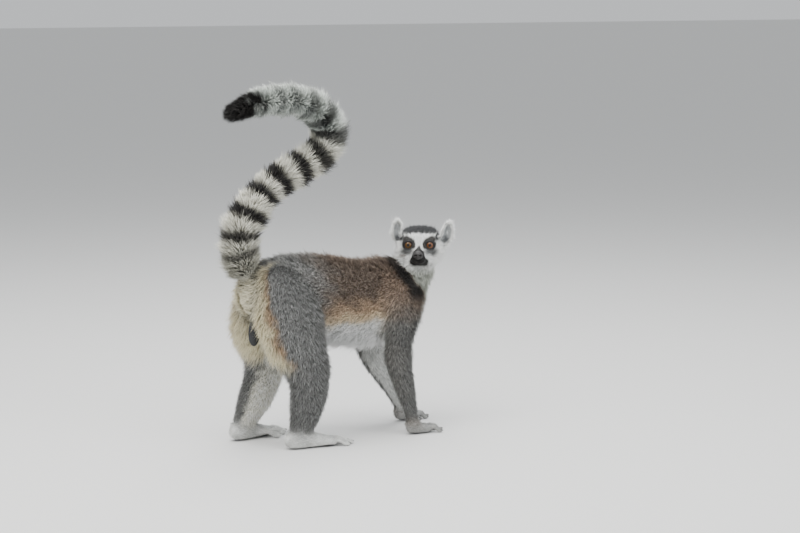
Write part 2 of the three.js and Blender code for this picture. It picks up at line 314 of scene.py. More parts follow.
# %% Feet and hands
def paw_chains(name, sole, digits):
    forward, left, heading = PAWS[name]
    right = name.endswith("right")
    a = math.radians(heading)

    def put(f, l, up):
        l = -l if right else l
        return (
            forward + f * math.cos(a) - l * math.sin(a),
            left + f * math.sin(a) + l * math.cos(a),
            up,
        )

    across = (math.cos(a), math.sin(a), 0)
    rows = [[*put(*row[:3]), *row[3:]] for row in sole]
    made = [Chain(name, rows, 1.3, 12, 7, across)]
    for n, (f, l, up, length, thick, degrees) in enumerate(digits):
        way = math.radians(degrees)

        def point(along, height, half):
            at = put(f + along * length * math.cos(way), l + along * length * math.sin(way), height)
            return [*at, half, half * 0.92, half * 0.92]

        rows = [
            point(-0.25, up + 1, thick * 0.95),
            point(0.05, up + 1.6, thick * 0.86),
            point(0.3, up + 2.6, thick * 0.8),
            point(0.45, up + 2.2, thick * 0.88),
            point(0.62, up - 0.6, thick * 0.76),
            point(0.78, thick * 0.85, thick * 0.84),
            point(0.9, thick * 0.78, thick * 0.9),
            point(0.98, thick * 0.8, thick * 0.62),
        ]
        total = a + (-way if right else way)
        across = (math.cos(total), math.sin(total), 0)
        made.append(Chain(f"{name}_digit{n + 1}", rows, 0.4, 14, 3.0, across))
    return made


for name in PAWS:
    chains += paw_chains(name, *((FOOT, TOES) if "foot" in name else (HAND, FINGERS)))
names = [c.name for c in chains]
print("with feet and hands", len(chains), "chains")

# %% [markdown]
# The head is made from rounded solids that melt into one another: braincase, cheeks, brow, muzzle and
# jaw. Two sockets are hollowed out for the eyes, and the lids close over each eyeball but for a round
# opening. The axes of the head run forward out of the face, left and up from between the eyes.

# %% The head's own axes
EYES_AT = (283, -17, 287.5)
HEAD_TURN, HEAD_RAISE = math.radians(126), math.radians(3)
EYE_APART, EYE_RADIUS, EYE_DEPTH = 33.5, 8.6, 0.6
LID_OPENING = 6.5


def head_axes():
    turn, lift = -HEAD_TURN, -HEAD_RAISE
    rz = np.array(
        [[math.cos(turn), -math.sin(turn), 0], [math.sin(turn), math.cos(turn), 0], [0, 0, 1]]
    )
    rx = np.array(
        [[1, 0, 0], [0, math.cos(lift), -math.sin(lift)], [0, math.sin(lift), math.cos(lift)]]
    )
    return rz @ rx


HEAD_ROT = head_axes()
HEAD_MID = place(*EYES_AT)


def to_head(points):
    """Body axes to the head's: columns forward, left, up."""
    q = (points - HEAD_MID) @ HEAD_ROT
    return np.stack([-q[:, 1], q[:, 0], q[:, 2]], 1)


def from_head(flu):
    flu = np.atleast_2d(np.asarray(flu, float))
    return np.stack([flu[:, 1], -flu[:, 0], flu[:, 2]], 1) @ HEAD_ROT.T + HEAD_MID


def head_way(flu):
    flu = np.atleast_2d(np.asarray(flu, float))
    return np.stack([flu[:, 1], -flu[:, 0], flu[:, 2]], 1) @ HEAD_ROT.T


eye_gap = np.linalg.norm(
    np.array([(a + b) / 2 for a, b in zip(*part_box("eye_left"))])
    - to_frame(from_head([-EYE_DEPTH, EYE_APART / 2, 0]))[0]
)
print("eye is", round(1000 * eye_gap, 2), "mm from its solid")
assert eye_gap < 0.001


# %% [markdown]
# A head could be pushed and pulled out of a ball by hand. Here it is a sum of distances instead: each
# shape says how far a point lies from it, and a soft minimum joins two shapes with a fillet of a chosen
# width. A size can then be changed on its own, and the rest still flows into it.

# %% Shapes that melt together
def smin(a, b, k):
    h = np.clip(0.5 + 0.5 * (b - a) / k, 0, 1)
    return b + (a - b) * h - k * h * (1 - h)


def smax(a, b, k):
    return -smin(-a, -b, k)


def ball(p, centre, radii):
    q = p - np.array(centre, float)
    r = np.array(radii, float)
    k1 = np.linalg.norm(q / r, axis=1) + 1e-6
    k2 = np.linalg.norm(q / r**2, axis=1) + 1e-6
    return (k1 - 1) * k1 / k2


def bar(p, a, b, ra, rb, squash=(1, 1, 1)):
    s = np.array(squash, float)
    a, b = np.array(a, float), np.array(b, float)
    step = b - a
    t = np.clip((p - a) @ step / (step @ step), 0, 1)
    q = (p - a - t[:, None] * step) / s
    return (np.linalg.norm(q, axis=1) - (ra + t * (rb - ra))) * s.min()


def head_field(points):
    p = to_head(points)
    m = np.stack([p[:, 0], np.abs(p[:, 1]), p[:, 2]], 1)  # both halves at once
    d = ball(m, (-31, 0, 0), (29, 31, 25))
    d = smin(d, ball(m, (-17, 19, -10), (19, 16, 17)), 8)
    d = smin(d, ball(m, (-13, 0, 8), (14, 24, 13)), 8)
    # Bridge of the muzzle, the fuller lips beside it, and the lower jaw.
    d = smin(d, bar(m, (-6, 0, -7), (35, 0, -14.0), 10.0, 6.4, (1, 1.02, 1)), 6)
    d = smin(d, bar(m, (-4, 7.8, -16), (28, 5.8, -18.8), 8.0, 6.0), 4)
    d = smin(d, bar(m, (-12, 5, -22), (27, 2.4, -23.4), 8.5, 4.6, (1, 1.1, 0.85)), 3)
    eye = (-EYE_DEPTH, EYE_APART / 2, 0)
    d = smin(d, ball(m, eye, (9.9, 10.2, 9.9)), 4)
    d = smin(d, ball(m, (-6, 17, 9), (9, 9, 5)), 6)
    d = smax(d, -ball(m, (11.5, 0, 7), (9, 6.5, 8)), 7)
    # The opening between the lids goes down to the eyeball.
    to_axis = np.hypot(m[:, 1] - eye[1], m[:, 2] - eye[2])
    from_eye = np.linalg.norm(m - np.array(eye), axis=1)
    front = m[:, 0] > eye[0]
    opening = np.maximum(to_axis - LID_OPENING, (EYE_RADIUS - 1.2) - from_eye)
    d = np.where(front, smax(d, -opening, 1.2), d)
    # The mouth is a shallow line from under the nose back to its corner.
    mouth_up = -21.6 + 0.0022 * (m[:, 0] - 33) ** 2
    line = np.exp(-(((m[:, 2] - mouth_up) / 0.9) ** 2))
    d = d + 1.0 * line * np.clip((m[:, 0] - 7) / 5, 0, 1)
    # A groove runs from the nose down to the lip.
    d = d + 0.7 * np.exp(-((m[:, 1] / 0.8) ** 2)) * (m[:, 0] > 34) * (m[:, 2] < -17)
    return d


print("where two shapes meet, a blend of 8 mm fills in", -smin(0.0, 0.0, 8), "mm")


# %% [markdown]
# All parts are laid on one grid of distances, each blended into the body with a fillet of its own. The
# skin is where the distance is nothing: one vertex goes in each cell that the surface crosses, at the
# middle of its crossings, and each crossed edge of the grid gives one face.


# %% One field for the whole body
CELL = 2.3
FAR = 30.0  # the distance given to points that no part is near
REACH = 19.0  # how far from its skin a part is still blended with others
HEAD_BLEND = 12
UNDERSIDE = 0.35  # the soles end this far above the floor
low = np.array([-75.0, -345.0, -3.0])
high = np.array([130.0, 122.0, 552.0])
low = np.minimum(low, np.min([(c.mid - c.outer.max(1)[:, None]).min(0) for c in chains], 0) - 6)
high = np.maximum(high, np.max([(c.mid + c.outer.max(1)[:, None]).max(0) for c in chains], 0) + 6)
low[2] = -3.0
counts = np.ceil((high - low) / CELL).astype(int) + 1
axes = [low[i] + CELL * np.arange(counts[i]) for i in range(3)]
field = np.full(counts, FAR, np.float32)


def window(lo, hi):
    a = np.clip(np.floor((lo - low) / CELL).astype(int), 0, counts - 1)
    b = np.clip(np.ceil((hi - low) / CELL).astype(int) + 1, 1, counts)
    return tuple(slice(i, j) for i, j in zip(a, b))


def grid_points(win):
    return np.stack(np.meshgrid(*[axes[i][win[i]] for i in range(3)], indexing="ij"), -1)


def lay(chain):
    """Blend one chain into the field, a few segments at a time so that the windows stay small."""
    reach = chain.size.max(1) + REACH
    whole = window((chain.mid - reach[:, None]).min(0), (chain.mid + reach[:, None]).max(0))
    part = np.full([s.stop - s.start for s in whole], FAR, np.float32)
    for first in range(0, len(chain.mid) - 1, 3):
        last = min(first + 3, len(chain.mid) - 1)
        near = slice(first, last + 1)
        lo = (chain.mid[near] - reach[near, None]).min(0)
        hi = (chain.mid[near] + reach[near, None]).max(0)
        win = window(lo, hi)
        grid = grid_points(win)
        d = chain.distance(grid.reshape(-1, 3), first, last)[0].reshape(grid.shape[:3])
        inner = tuple(slice(w.start - o.start, w.stop - o.start) for w, o in zip(win, whole))
        part[inner] = np.minimum(part[inner], d)
    field[whole] = smin(field[whole], part, chain.blend) if chain.blend else part


for chain in chains:
    if chain.name != "scrotum":
        lay(chain)
    if chain.name == "neck":
        head_win = window(HEAD_MID - 85, HEAD_MID + 85)
        grid = grid_points(head_win)
        d = head_field(grid.reshape(-1, 3)).reshape(grid.shape[:3])
        field[head_win] = smin(field[head_win], d, HEAD_BLEND)
lay(chains[3])


def soften(f):
    for axis in range(3):
        f = f.copy()
        mid = [slice(None)] * 3
        a, b = list(mid), list(mid)
        mid[axis], a[axis], b[axis] = slice(1, -1), slice(0, -2), slice(2, None)
        f[tuple(mid)] = 0.5 * f[tuple(mid)] + 0.25 * (f[tuple(a)] + f[tuple(b)])
    return f


grid = grid_points(tuple(slice(0, c) for c in counts))
broad = np.clip((grid[..., 2] - 30) / 15, 0, 1)
broad *= np.clip((np.linalg.norm(grid - HEAD_MID, axis=3) - 60) / 15, 0, 1)
field += (broad * (soften(soften(soften(field))) - field)).astype(np.float32)
field = smax(field, (UNDERSIDE - grid[..., 2]).astype(np.float32), 0.6)
print("field", field.shape, "cells")


# %% [markdown]
# Blender's own remesher would make a skin too, but it rounds thin edges and spreads its faces evenly. A
# surface net is a few lines, follows thin toes and lids, and gives clean four-sided faces.

# %% The surface of the field
def surface_nets(f, origin, cell):
    inside = f < 0
    cross = []
    total = np.zeros([n - 1 for n in f.shape] + [3], np.float32)
    hits = np.zeros([n - 1 for n in f.shape], np.float32)
    quads = []
    for axis in range(3):
        a = [slice(None)] * 3
        b = [slice(None)] * 3
        a[axis], b[axis] = slice(0, -1), slice(1, None)
        fa, fb = f[tuple(a)], f[tuple(b)]
        at = np.argwhere(inside[tuple(a)] != inside[tuple(b)])
        i, j, k = at.T
        t = fa[i, j, k] / (fa[i, j, k] - fb[i, j, k])
        where = at.astype(np.float32)
        where[:, axis] += t
        o1, o2 = (axis + 1) % 3, (axis + 2) % 3
        around = []
        for s1, s2 in ((0, 0), (-1, 0), (-1, -1), (0, -1)):
            c = at.copy()
            c[:, o1] += s1
            c[:, o2] += s2
            around.append(c)
            good = np.all((c >= 0) & (c < np.array(hits.shape)), 1)
            g = c[good]
            np.add.at(total, tuple(g.T), where[good])
            np.add.at(hits, tuple(g.T), 1)
        cross.append((np.stack(around, 1), inside[tuple(a)][i, j, k]))
    used = np.argwhere(hits > 0)
    number = np.full(hits.shape, -1, np.int64)
    number[tuple(used.T)] = np.arange(len(used))
    vertices = total[tuple(used.T)] / hits[tuple(used.T)][:, None] * cell + origin
    for around, starts_inside in cross:
        ids = number[around[..., 0], around[..., 1], around[..., 2]]
        ids = np.where(starts_inside[:, None], ids, ids[:, ::-1])
        quads.append(ids)
    return vertices.astype(float), np.concatenate(quads)


points, quads = surface_nets(field, low, CELL)
print("skin", len(points), "points", len(quads), "faces")

# %% [markdown]
# Broad parts such as the back need few faces under the hair, and the face, hands and feet need many. So
# the smooth parts are thinned by collapsing short edges, the fine parts are divided, and the new points
# are drawn onto the exact surface, which the grid knew only roughly.


# %% The exact field near the fine parts
def body_field(points):
    d = np.full(len(points), FAR)
    for chain in chains[:2] + ["head"] + chains[2:3] + chains[4:] + chains[3:4]:
        if chain == "head":
            near = np.linalg.norm(points - HEAD_MID, axis=1) < 85
            if near.any():
                d[near] = smin(d[near], head_field(points[near]), HEAD_BLEND)
            continue
        reach = chain.size.max() + REACH
        lo, hi = chain.mid.min(0) - reach, chain.mid.max(0) + reach
        near = np.all((points > lo) & (points < hi), 1)
        if near.any():
            got = chain.distance(points[near])[0]
            d[near] = smin(d[near], np.minimum(got, FAR), max(chain.blend, 0.01))
    return smax(d, UNDERSIDE - points[:, 2], 0.6)


def draw_on(points, times=2):
    for _ in range(times):
        d = body_field(points)
        e = 0.25
        slope = np.stack([body_field(points + e * np.eye(3)[i]) - d for i in range(3)], 1) / e
        size = np.maximum((slope**2).sum(1), 0.35)
        move = -(d / size)[:, None] * slope
        long = np.maximum(np.linalg.norm(move, axis=1), 1e-6)
        points = points + move * np.minimum(1, 1.2 / long)[:, None]
    return points


def is_fine(points):
    p = to_head(points)
    head = (np.linalg.norm(p - [-18, 0, -4], axis=1) < 62) & (p[:, 0] > -60)
    paws = points[:, 2] < 27
    return head | paws


def is_face(points):
    p = to_head(points)
    return (p[:, 0] > -9) & (np.abs(p[:, 1]) < 31) & (p[:, 2] > -33) & (p[:, 2] < 17)


some = points[is_fine(points)][::20]
print("the net lies", np.abs(body_field(some)).mean().round(3), "mm off the exact skin where it is fine")

# %% [markdown]
# A vertex group tells the Decimate modifier where it may work, so that the head and the paws keep all
# their faces. The result is read back from the evaluated object, and the modifier is taken off.

# %% Thin the broad parts
def mesh_object(name, vertices, faces):
    mesh = bpy.data.meshes.new(name)
    mesh.from_pydata(np.asarray(vertices).tolist(), [], np.asarray(faces).tolist())
    made = bpy.data.objects.new(name, mesh)
    bpy.context.scene.collection.objects.link(made)
    return made


def read_points(mesh):
    flat = np.empty(len(mesh.vertices) * 3, np.float32)
    mesh.vertices.foreach_get("co", flat)
    return flat.reshape(-1, 3).astype(float)


skin = mesh_object("skin", points, quads)
broad_group = skin.vertex_groups.new(name="broad")
broad_group.add(np.nonzero(~is_fine(points))[0].tolist(), 1.0, "REPLACE")
thin = skin.modifiers.new("thin", "DECIMATE")
thin.ratio = 0.6
thin.vertex_group = "broad"
depsgraph = bpy.context.evaluated_depsgraph_get()
thinned = bpy.data.meshes.new_from_object(skin.evaluated_get(depsgraph), depsgraph=depsgraph)
skin.modifiers.clear()
skin.vertex_groups.clear()
skin.data = thinned
print("thinned to", len(thinned.polygons), "faces")


# %% [markdown]
# The fine parts are divided once and the face twice. After each time the points are drawn onto the exact
# surface, which brings out the lids, the lips and the gaps between the digits.

# %% Divide the fine parts
def divide(mesh, chosen):
    bm = bmesh.new()
    bm.from_mesh(mesh)
    flat = np.array([v.co[:] for v in bm.verts])
    pick = chosen(flat)
    edges = [e for e in bm.edges if pick[e.verts[0].index] and pick[e.verts[1].index]]
    bmesh.ops.subdivide_edges(bm, edges=edges, cuts=1, use_grid_fill=True)
    bmesh.ops.triangulate(bm, faces=bm.faces[:])
    bm.to_mesh(mesh)
    bm.free()


divide(skin.data, is_fine)
at = read_points(skin.data)
pick = is_fine(at)
at[pick] = draw_on(at[pick], 2)
skin.data.vertices.foreach_set("co", at.ravel())
divide(skin.data, is_face)
at = read_points(skin.data)
pick = is_face(at)
at[pick] = draw_on(at[pick], 3)
skin.data.vertices.foreach_set("co", at.ravel())
skin.data.update()
print("skin", len(skin.data.vertices), "points", len(skin.data.polygons), "faces")

# %% [markdown]
# An ear is a thin leaf that curls forward along both edges, so its front is a shallow bowl. It is made as
# a closed shell, ring by ring from the base, with the base sunk in the head under the fur. It joins the
# skin's mesh so that it takes the same markings and grows its hair by the same rules.

# %% Ears
EARS = {  # forward, left, up and half the width, in the head's axes, both as on the left side
    "left": [
        [-21, 24, 0, 9],
        [-20.5, 33.5, 5, 11],
        [-20, 40, 12, 12],
        [-19.5, 42, 19.5, 12],
        [-19, 43.2, 26.5, 10],
        [-18.7, 45.5, 31.5, 6.2],
        [-18.2, 48.5, 35.0, 2.3],
    ],
    "right": [
        [-21, 22, 0, 8],
        [-20.5, 29.5, 6, 9.5],
        [-20, 34, 13, 10],
        [-19.5, 34, 20.5, 10.5],
        [-19, 32.8, 28, 10.8],
        [-18.7, 34.0, 34.0, 6.8],
        [-18.2, 35.0, 37.2, 2.6],
    ],
}
EAR_ACROSS = (-0.34, 0.86, -0.38)  # the left ear's broad way: forward, left, up
EAR_FRINGE = 3.8


def read_faces(mesh):
    flat = np.empty(len(mesh.loops), np.int32)
    mesh.loops.foreach_get("vertex_index", flat)
    return flat.reshape(-1, 3)


def ear_shell(side, rings=22, half=9):
    """Points (head axes), faces, and for each point: way out 0 to 1, side -1 to 1, 1 if in front."""
    sign = 1 if side == "left" else -1
    s = np.linspace(0, 0.9, rings)
    got = through(np.array(EARS[side], float), s)
    mid = got[:, :3] * [1, sign, 1]
    ahead = unit(np.gradient(mid, axis=0))
    across = np.array(EAR_ACROSS) * [1, sign, 1]
    across = unit(across - ahead * (ahead @ across)[:, None])
    front = np.cross(ahead, across) * sign
    front *= np.sign(front[:, :1])
    width = np.maximum(got[:, 3] - EAR_FRINGE, 1.4)[:, None]
    t = np.linspace(-1, 1, 2 * half + 1)
    t = np.concatenate([t, t[::-1]])[None, :]
    is_front = np.arange(t.shape[1]) < 2 * half + 1
    x = width * np.sin(1.2 * t) / math.sin(1.2)
    bowl = 0.62 * width * (1 - np.cos(1.2 * t)) / (1 - math.cos(1.2)) - 0.2 * width
    ridge = 0.9 * np.exp(-(((t - 0.35) / 0.16) ** 2)) * np.clip(1.4 - 1.6 * s, 0, 1)[:, None]
    thick = 2.6 - 1.5 * np.abs(t)
    z = bowl + np.where(is_front, ridge, -thick)
    points = mid[:, None] + across[:, None] * x[..., None] + front[:, None] * z[..., None]
    n = t.shape[1]
    a = (np.arange(rings - 1)[:, None] * n + np.arange(n)).ravel()
    b = (np.arange(rings - 1)[:, None] * n + (np.arange(n) + 1) % n).ravel()
    faces = np.concatenate([np.stack([a, b, b + n], 1), np.stack([a, b + n, a + n], 1)])
    caps = [[0, i + 1, i] for i in range(1, n - 1)]
    top = (rings - 1) * n
    caps += [[top, top + i, top + i + 1] for i in range(1, n - 1)]
    faces = np.concatenate([faces, np.array(caps)])
    flat = points.reshape(-1, 3)
    p, q, r = flat[faces[:, 0]], flat[faces[:, 1]], flat[faces[:, 2]]
    if (np.cross(p, q) * r).sum() < 0:
        faces = faces[:, ::-1]
    where = np.stack([*np.broadcast_arrays(s[:, None], t, is_front[None, :])], -1).reshape(-1, 3)
    return flat, faces, where


def join_ears():
    points, faces, where = [at], [read_faces(skin.data)], [np.full((len(at), 3), -1.0)]
    count = len(at)
    for side in ("left", "right"):
        p, f, w = ear_shell(side)
        points.append(from_head(p))
        faces.append(f + count)
        where.append(w)
        count += len(p)
    return np.concatenate(points), np.concatenate(faces), np.concatenate(where)


def fill_mesh(mesh, points, faces):
    """Fill an empty mesh with points and triangles, straight from arrays."""
    mesh.vertices.add(len(points))
    mesh.vertices.foreach_set("co", np.asarray(points, np.float32).ravel())
    mesh.loops.add(3 * len(faces))
    mesh.loops.foreach_set("vertex_index", np.asarray(faces, np.int32).ravel())
    mesh.polygons.add(len(faces))
    mesh.polygons.foreach_set("loop_start", np.arange(0, 3 * len(faces), 3, dtype=np.int32))
    mesh.polygons.foreach_set("use_smooth", np.ones(len(faces), bool))
    mesh.update(calc_edges=True)


at, faces, ear_at = join_ears()
skin.data = bpy.data.meshes.new("skin")
fill_mesh(skin.data, at, faces)
ear = ear_at[:, 0] >= 0
print("with ears", len(at), "points; turned faces:", int(skin.data.validate(verbose=False)))

# %% [markdown]
# Every point of the skin knows which part it is on, how far along it and at what turn around it. From
# that come the lie of the hair, its length and how far it stands out, blended where parts meet.

# %% Where each point of the skin is
COAT = {  # length mm, degrees off the skin at the root and tip, half thickness mm, tufts per sq mm
    "trunk": (12.8, 52, 30, 0.38, 0.40),
    "neck": (12.8, 52, 30, 0.38, 0.42),
    "thigh": (11, 52, 30, 0.36, 0.46),
    "shank": (9, 50, 28, 0.34, 0.47),
    "upper_arm": (10.5, 50, 28, 0.35, 0.46),
    "forearm": (7.5, 46, 24, 0.31, 0.54),
    "foot": (3.8, 36, 16, 0.23, 0.75),
    "hand": (3.4, 36, 16, 0.22, 0.75),
    "tail": (31, 67, 50, 0.49, 0.74),
    "scrotum": (1.5, 20, 8, 0.2, 0.5),
    "head": (8.5, 44, 20, 0.28, 0.80),
}


def kind_of(name):
    for kind in COAT:
        if name.startswith(kind):
            return kind
    raise KeyError(name)


def survey(points):
    """For each part: distance, way along, turn around. The head comes last."""
    n = len(points)
    dist = np.full((len(chains) + 1, n), 60.0)
    along = np.zeros((len(chains) + 1, n))
    turn = np.zeros((len(chains) + 1, n, 2))
    for c, chain in enumerate(chains):
        reach = chain.size.max() + REACH
        lo, hi = chain.mid.min(0) - reach, chain.mid.max(0) + reach
        near = np.all((points > lo) & (points < hi), 1)
        if near.any():
            dist[c, near], along[c, near], turn[c, near] = chain.distance(points[near])
    near = np.linalg.norm(points - HEAD_MID, axis=1) < 100
    dist[-1, near] = head_field(points[near])
    return dist, along, turn


def read_normals(mesh):
    flat = np.empty(len(mesh.vertices) * 3, np.float32)
    mesh.vertices.foreach_get("normal", flat)
    return flat.reshape(-1, 3).astype(float)


def ramp(x, a, b):
    t = np.clip((x - a) / (b - a), 0, 1)
    return t * t * (3 - 2 * t)


def grain(p, size, seed=0):
    """Smooth noise from -1 to 1, as a sum of waves in fixed ways."""
    waves = np.random.default_rng(seed)
    out = np.zeros(len(p))
    for _ in range(6):
        k = waves.normal(size=3)
        across = p @ (k / np.linalg.norm(k)) * (2 * np.pi / size)
        out += np.sin(across * waves.uniform(0.6, 1.6) + waves.uniform(0, 6.28))
    return out / 2.4


normal = read_normals(skin.data)
dist, along, turn = survey(at)
order = np.argmin(dist, 0)
weight = np.exp(-(dist - dist.min(0)) / 3.5)
weight[weight < 0.02] = 0
order[ear] = len(chains)
weight[:-1, ear], weight[-1, ear] = 0, 1
weight /= weight.sum(0)
kinds = [kind_of(c.name) for c in chains] + ["head"]
F, L, U = -at[:, 1], at[:, 0], at[:, 2]
H = to_head(at)
part_names = names + ["head"]


def weight_of(*wanted):
    """How much each point belongs to the parts of these kinds, from 0 to 1."""
    return sum(weight[i] for i, k in enumerate(kinds) if k in wanted)


def tally(numbers):
    """How often each part is named in a list of part numbers, without the digits."""
    return {k: int((numbers == i).sum()) for i, k in enumerate(part_names) if "digit" not in k}


print("points by part", tally(order))

# %% [markdown]
# Hair lies the way it would be stroked flat: back along the trunk, down the limbs, out along the tail and
# away from the nose. Each part gives its own way, they are mixed by how near each part is, and what
# would point into or out of the skin is taken off.

# %% The lie of the coat
def lie_of(points, normal):
    way = np.zeros_like(points)
    for c, chain in enumerate(chains):
        w = weight[c]
        hit = w > 0
        if not hit.any():
            continue
        i = np.clip((along[c, hit] * (len(chain.mid) - 1)).astype(int), 0, len(chain.mid) - 1)
        ahead = chain.ahead[i]
        if chain.name == "trunk":
            ahead = -ahead + np.array([0, 0, -0.25])
        elif chain.name == "neck":
            ahead = -ahead + np.array([0, 0, -0.3])
        elif chain.name.startswith("thigh"):
            ahead = ahead + place(-0.55, 0, 0)
        elif chain.name.startswith("upper_arm"):
            ahead = ahead + place(-0.3, 0, 0)
        way[hit] += w[hit, None] * unit(ahead)
    # On the head, hair grows away from the nose, and down and back on the cheeks.
    from_nose = unit(H - np.array([44, 0, -14.0]))
    from_nose[:, 2] -= 0.35 * ramp(-H[:, 2], 5, 25) * ramp(-H[:, 0], -5, 15)
    way += weight[-1][:, None] * head_way(from_nose)
    # On an ear it grows from the base to the tip, and outward at the edges.
    out = np.stack([0 * H[:, 0] - 0.2, 0.25 * np.sign(H[:, 1]), 0.9 + 0 * H[:, 0]], 1)
    low_down = ramp(-ear_at[:, 0], -0.75, -0.2)
    out[:, 1] += (0.25 + 0.6 * low_down) * ear_at[:, 1] * np.sign(H[:, 1])
    out[:, 2] -= 0.7 * np.maximum(ear_at[:, 1], 0) * low_down
    way[ear] = head_way(out[ear])
    way -= normal * (way * normal).sum(1)[:, None]
    return unit(way)


lie = lie_of(at, normal)
coat = np.stack([sum(weight[c] * COAT[kinds[c]][n] for c in range(len(kinds))) for n in range(5)], 1)
LENGTH, ROOT, TIP, THICK, DENSITY = range(5)

# Right and left limbs share one rule: outer is 1 on the outer side, rear is 1 behind.
limb = np.zeros((len(kinds), len(at), 2))
for c, chain in enumerate(chains):
    side = -1 if chain.name.endswith("right") or "_right_" in chain.name else 1
    limb[c, :, 0] = side * turn[c, :, 0]
    limb[c, :, 1] = -turn[c, :, 1]
thigh_w = weight_of("thigh")
shank_w = weight_of("shank")


def limb_angle(kind):
    """Degrees round a limb from its outer side (0), by the rear (90), to the inner side (180)."""
    pair = sum(weight[i][:, None] * limb[i] for i, k in enumerate(kinds) if k == kind)
    return np.degrees(np.arctan2(pair[:, 1], pair[:, 0]))


def from_angle(start, degrees):
    """The same angles, counted up from start."""
    return np.where(degrees < start, degrees + 360, degrees)


thigh_turn, shank_turn = limb_angle("thigh"), limb_angle("shank")
arm_turn, forearm_turn = limb_angle("upper_arm"), limb_angle("forearm")
print("mean lie of the hair", lie.mean(0).round(2), "and mean length", coat[:, LENGTH].mean().round(1), "mm")

# %% [markdown]
# The hair is not the same length all over a part. It is longest behind the thighs, under the belly and
# on the cheeks, and gets shorter down the face until the muzzle has only a velvet of a millimetre or so.
# On the tail it grows with the thickness of the tail. Soles, lips, the nose and the edges of the lids
# are bare.


# %% How long the hair is, and where there is none
def set_hair(where, values):
    """Blend some of the coat's numbers towards new ones: where is 0 to 1, values by column."""
    for column, value in values.items():
        coat[:, column] += where * (value - coat[:, column])


f, l, u = H.T
on_head = weight[-1] * ~ear
beside = np.abs(l)
tail_reach = np.interp(along[2], chains[2].u, (chains[2].outer - chains[2].size).mean(1))
coat[:, LENGTH] *= 1 - weight[2] * (1 - tail_reach / 0.80 / COAT["tail"][LENGTH])
behind = from_angle(-100, thigh_turn)
hind = thigh_w * ramp(behind, 50, 80) * ramp(-behind, -190, -140)
set_hair(hind, {LENGTH: 19, ROOT: 52, TIP: 30})
belly = weight[0] * ramp(-normal[:, 2], 0.2, 0.7) * ramp(F, 70, 110)
set_hair(belly, {LENGTH: 23, ROOT: 46, TIP: 30})
for kind, length in (("shank", 5.2), ("forearm", 4.6)):
    lower_end = sum(weight[i] * ramp(along[i], 0.35, 1.0) for i, k in enumerate(kinds) if k == kind)
    set_hair(lower_end, {LENGTH: length, ROOT: 42, TIP: 20, THICK: 0.27, DENSITY: 0.64})
nape = weight[1] + weight[0] * ramp(F, 175, 205)
nape = np.clip(nape, 0, 1) * ramp(normal[:, 2], 0.2, 0.7) * ramp(-F, -262, -240) * ramp(U, 225, 245)
set_hair(nape, {LENGTH: 17, ROOT: 60, TIP: 36})
tail_end = weight[2] * ramp(along[2], 0.80, 0.94)
set_hair(tail_end, {ROOT: 48, TIP: 22, THICK: 0.40})
near_scrotum = np.linalg.norm(at - place(-3, -8, 170), axis=1)
cleft = ramp(-np.abs(L + 2), -7, -3) * ramp(-F, -25, -8) * ramp(-U, -246, -236) * ramp(U, 150, 160)
parted = np.maximum(ramp(-near_scrotum, -38, -25) * ramp(-F, -34, -20), cleft) * (1 - weight[3])
set_hair(parted, {LENGTH: 4.5, ROOT: 30, TIP: 10, THICK: 0.28, DENSITY: 0.7})
cheek = on_head * ramp(beside, 17, 25) * ramp(-u, -4, 8) * ramp(-f, -4, 6)
set_hair(cheek, {LENGTH: 11, ROOT: 40, TIP: 16, THICK: 0.30})
face = on_head * ramp(f, -16, -5)
set_hair(face, {LENGTH: 4.6, ROOT: 34, TIP: 12, THICK: 0.21, DENSITY: 1.5})
temple = on_head * ramp(beside, 17, 20) * ramp(-beside, -27, -24.5) * ramp(u, 2, 6) * ramp(-u, -14, -11)
set_hair(temple, {LENGTH: 2.8, ROOT: 26})
crown_side = on_head * ramp(beside, 7, 20) * ramp(u, 12, 19) * ramp(-f, 0, 8)
set_hair(crown_side, {LENGTH: 9.4, ROOT: 55, TIP: 34})
round_eye = np.hypot(beside - EYE_APART / 2, u)
lid_hair = on_head * ramp(-round_eye, -14, -10.5) * (f > -12)
set_hair(lid_hair, {LENGTH: 2.4, ROOT: 30, THICK: 0.16, DENSITY: 2.2})
muzzle = on_head * ramp(f - 0.35 * beside, 6, 15) * ramp(-beside, -19, -14)
set_hair(muzzle, {LENGTH: 1.7, ROOT: 28, TIP: 10, THICK: 0.14, DENSITY: 2.4})
set_hair(ear * 1.0, {LENGTH: 5.0, ROOT: 34, TIP: 14, THICK: 0.20, DENSITY: 1.3})
fringe = ear * ramp(np.abs(ear_at[:, 1]), 0.72, 0.97)
set_hair(fringe, {LENGTH: 7.5, ROOT: 32, TIP: 24, THICK: 0.21, DENSITY: 4.0})
inner_edge = ear * ramp(-ear_at[:, 1], 0.6, 0.9)
set_hair(inner_edge, {LENGTH: 5.5, ROOT: 26, TIP: 12})
ear_tip = ear * ramp(ear_at[:, 0], 0.62, 0.85)
set_hair(ear_tip, {LENGTH: 6.5, ROOT: 34, TIP: 22, THICK: 0.22, DENSITY: 3.0})
coat[:, LENGTH] *= 1 + 0.5 * np.maximum(ear_tip, fringe) * grain(at, 4, 31)
inside_ear = ear * ear_at[:, 2] * ramp(-np.abs(ear_at[:, 1]), -0.75, -0.5)
set_hair(inside_ear, {LENGTH: 6.0, ROOT: 38, TIP: 22, THICK: 0.17, DENSITY: 0.9})
bare = (round_eye < 8.2) & (f > -8) & (weight[-1] > 0.5)
bare |= (weight[-1] > 0.5) & (f > 36) & (beside < 8) & (u > -20)
sole = (U < 8) & (normal[:, 2] < -0.7)
paws = weight_of("foot", "hand")
set_hair(np.clip(paws, 0, 1) * ramp(-U, -7, -3), {LENGTH: 2.0})
bare |= sole
print("bare points", int(bare.sum()), "longest hair", coat[:, LENGTH].max().round(1), "mm")

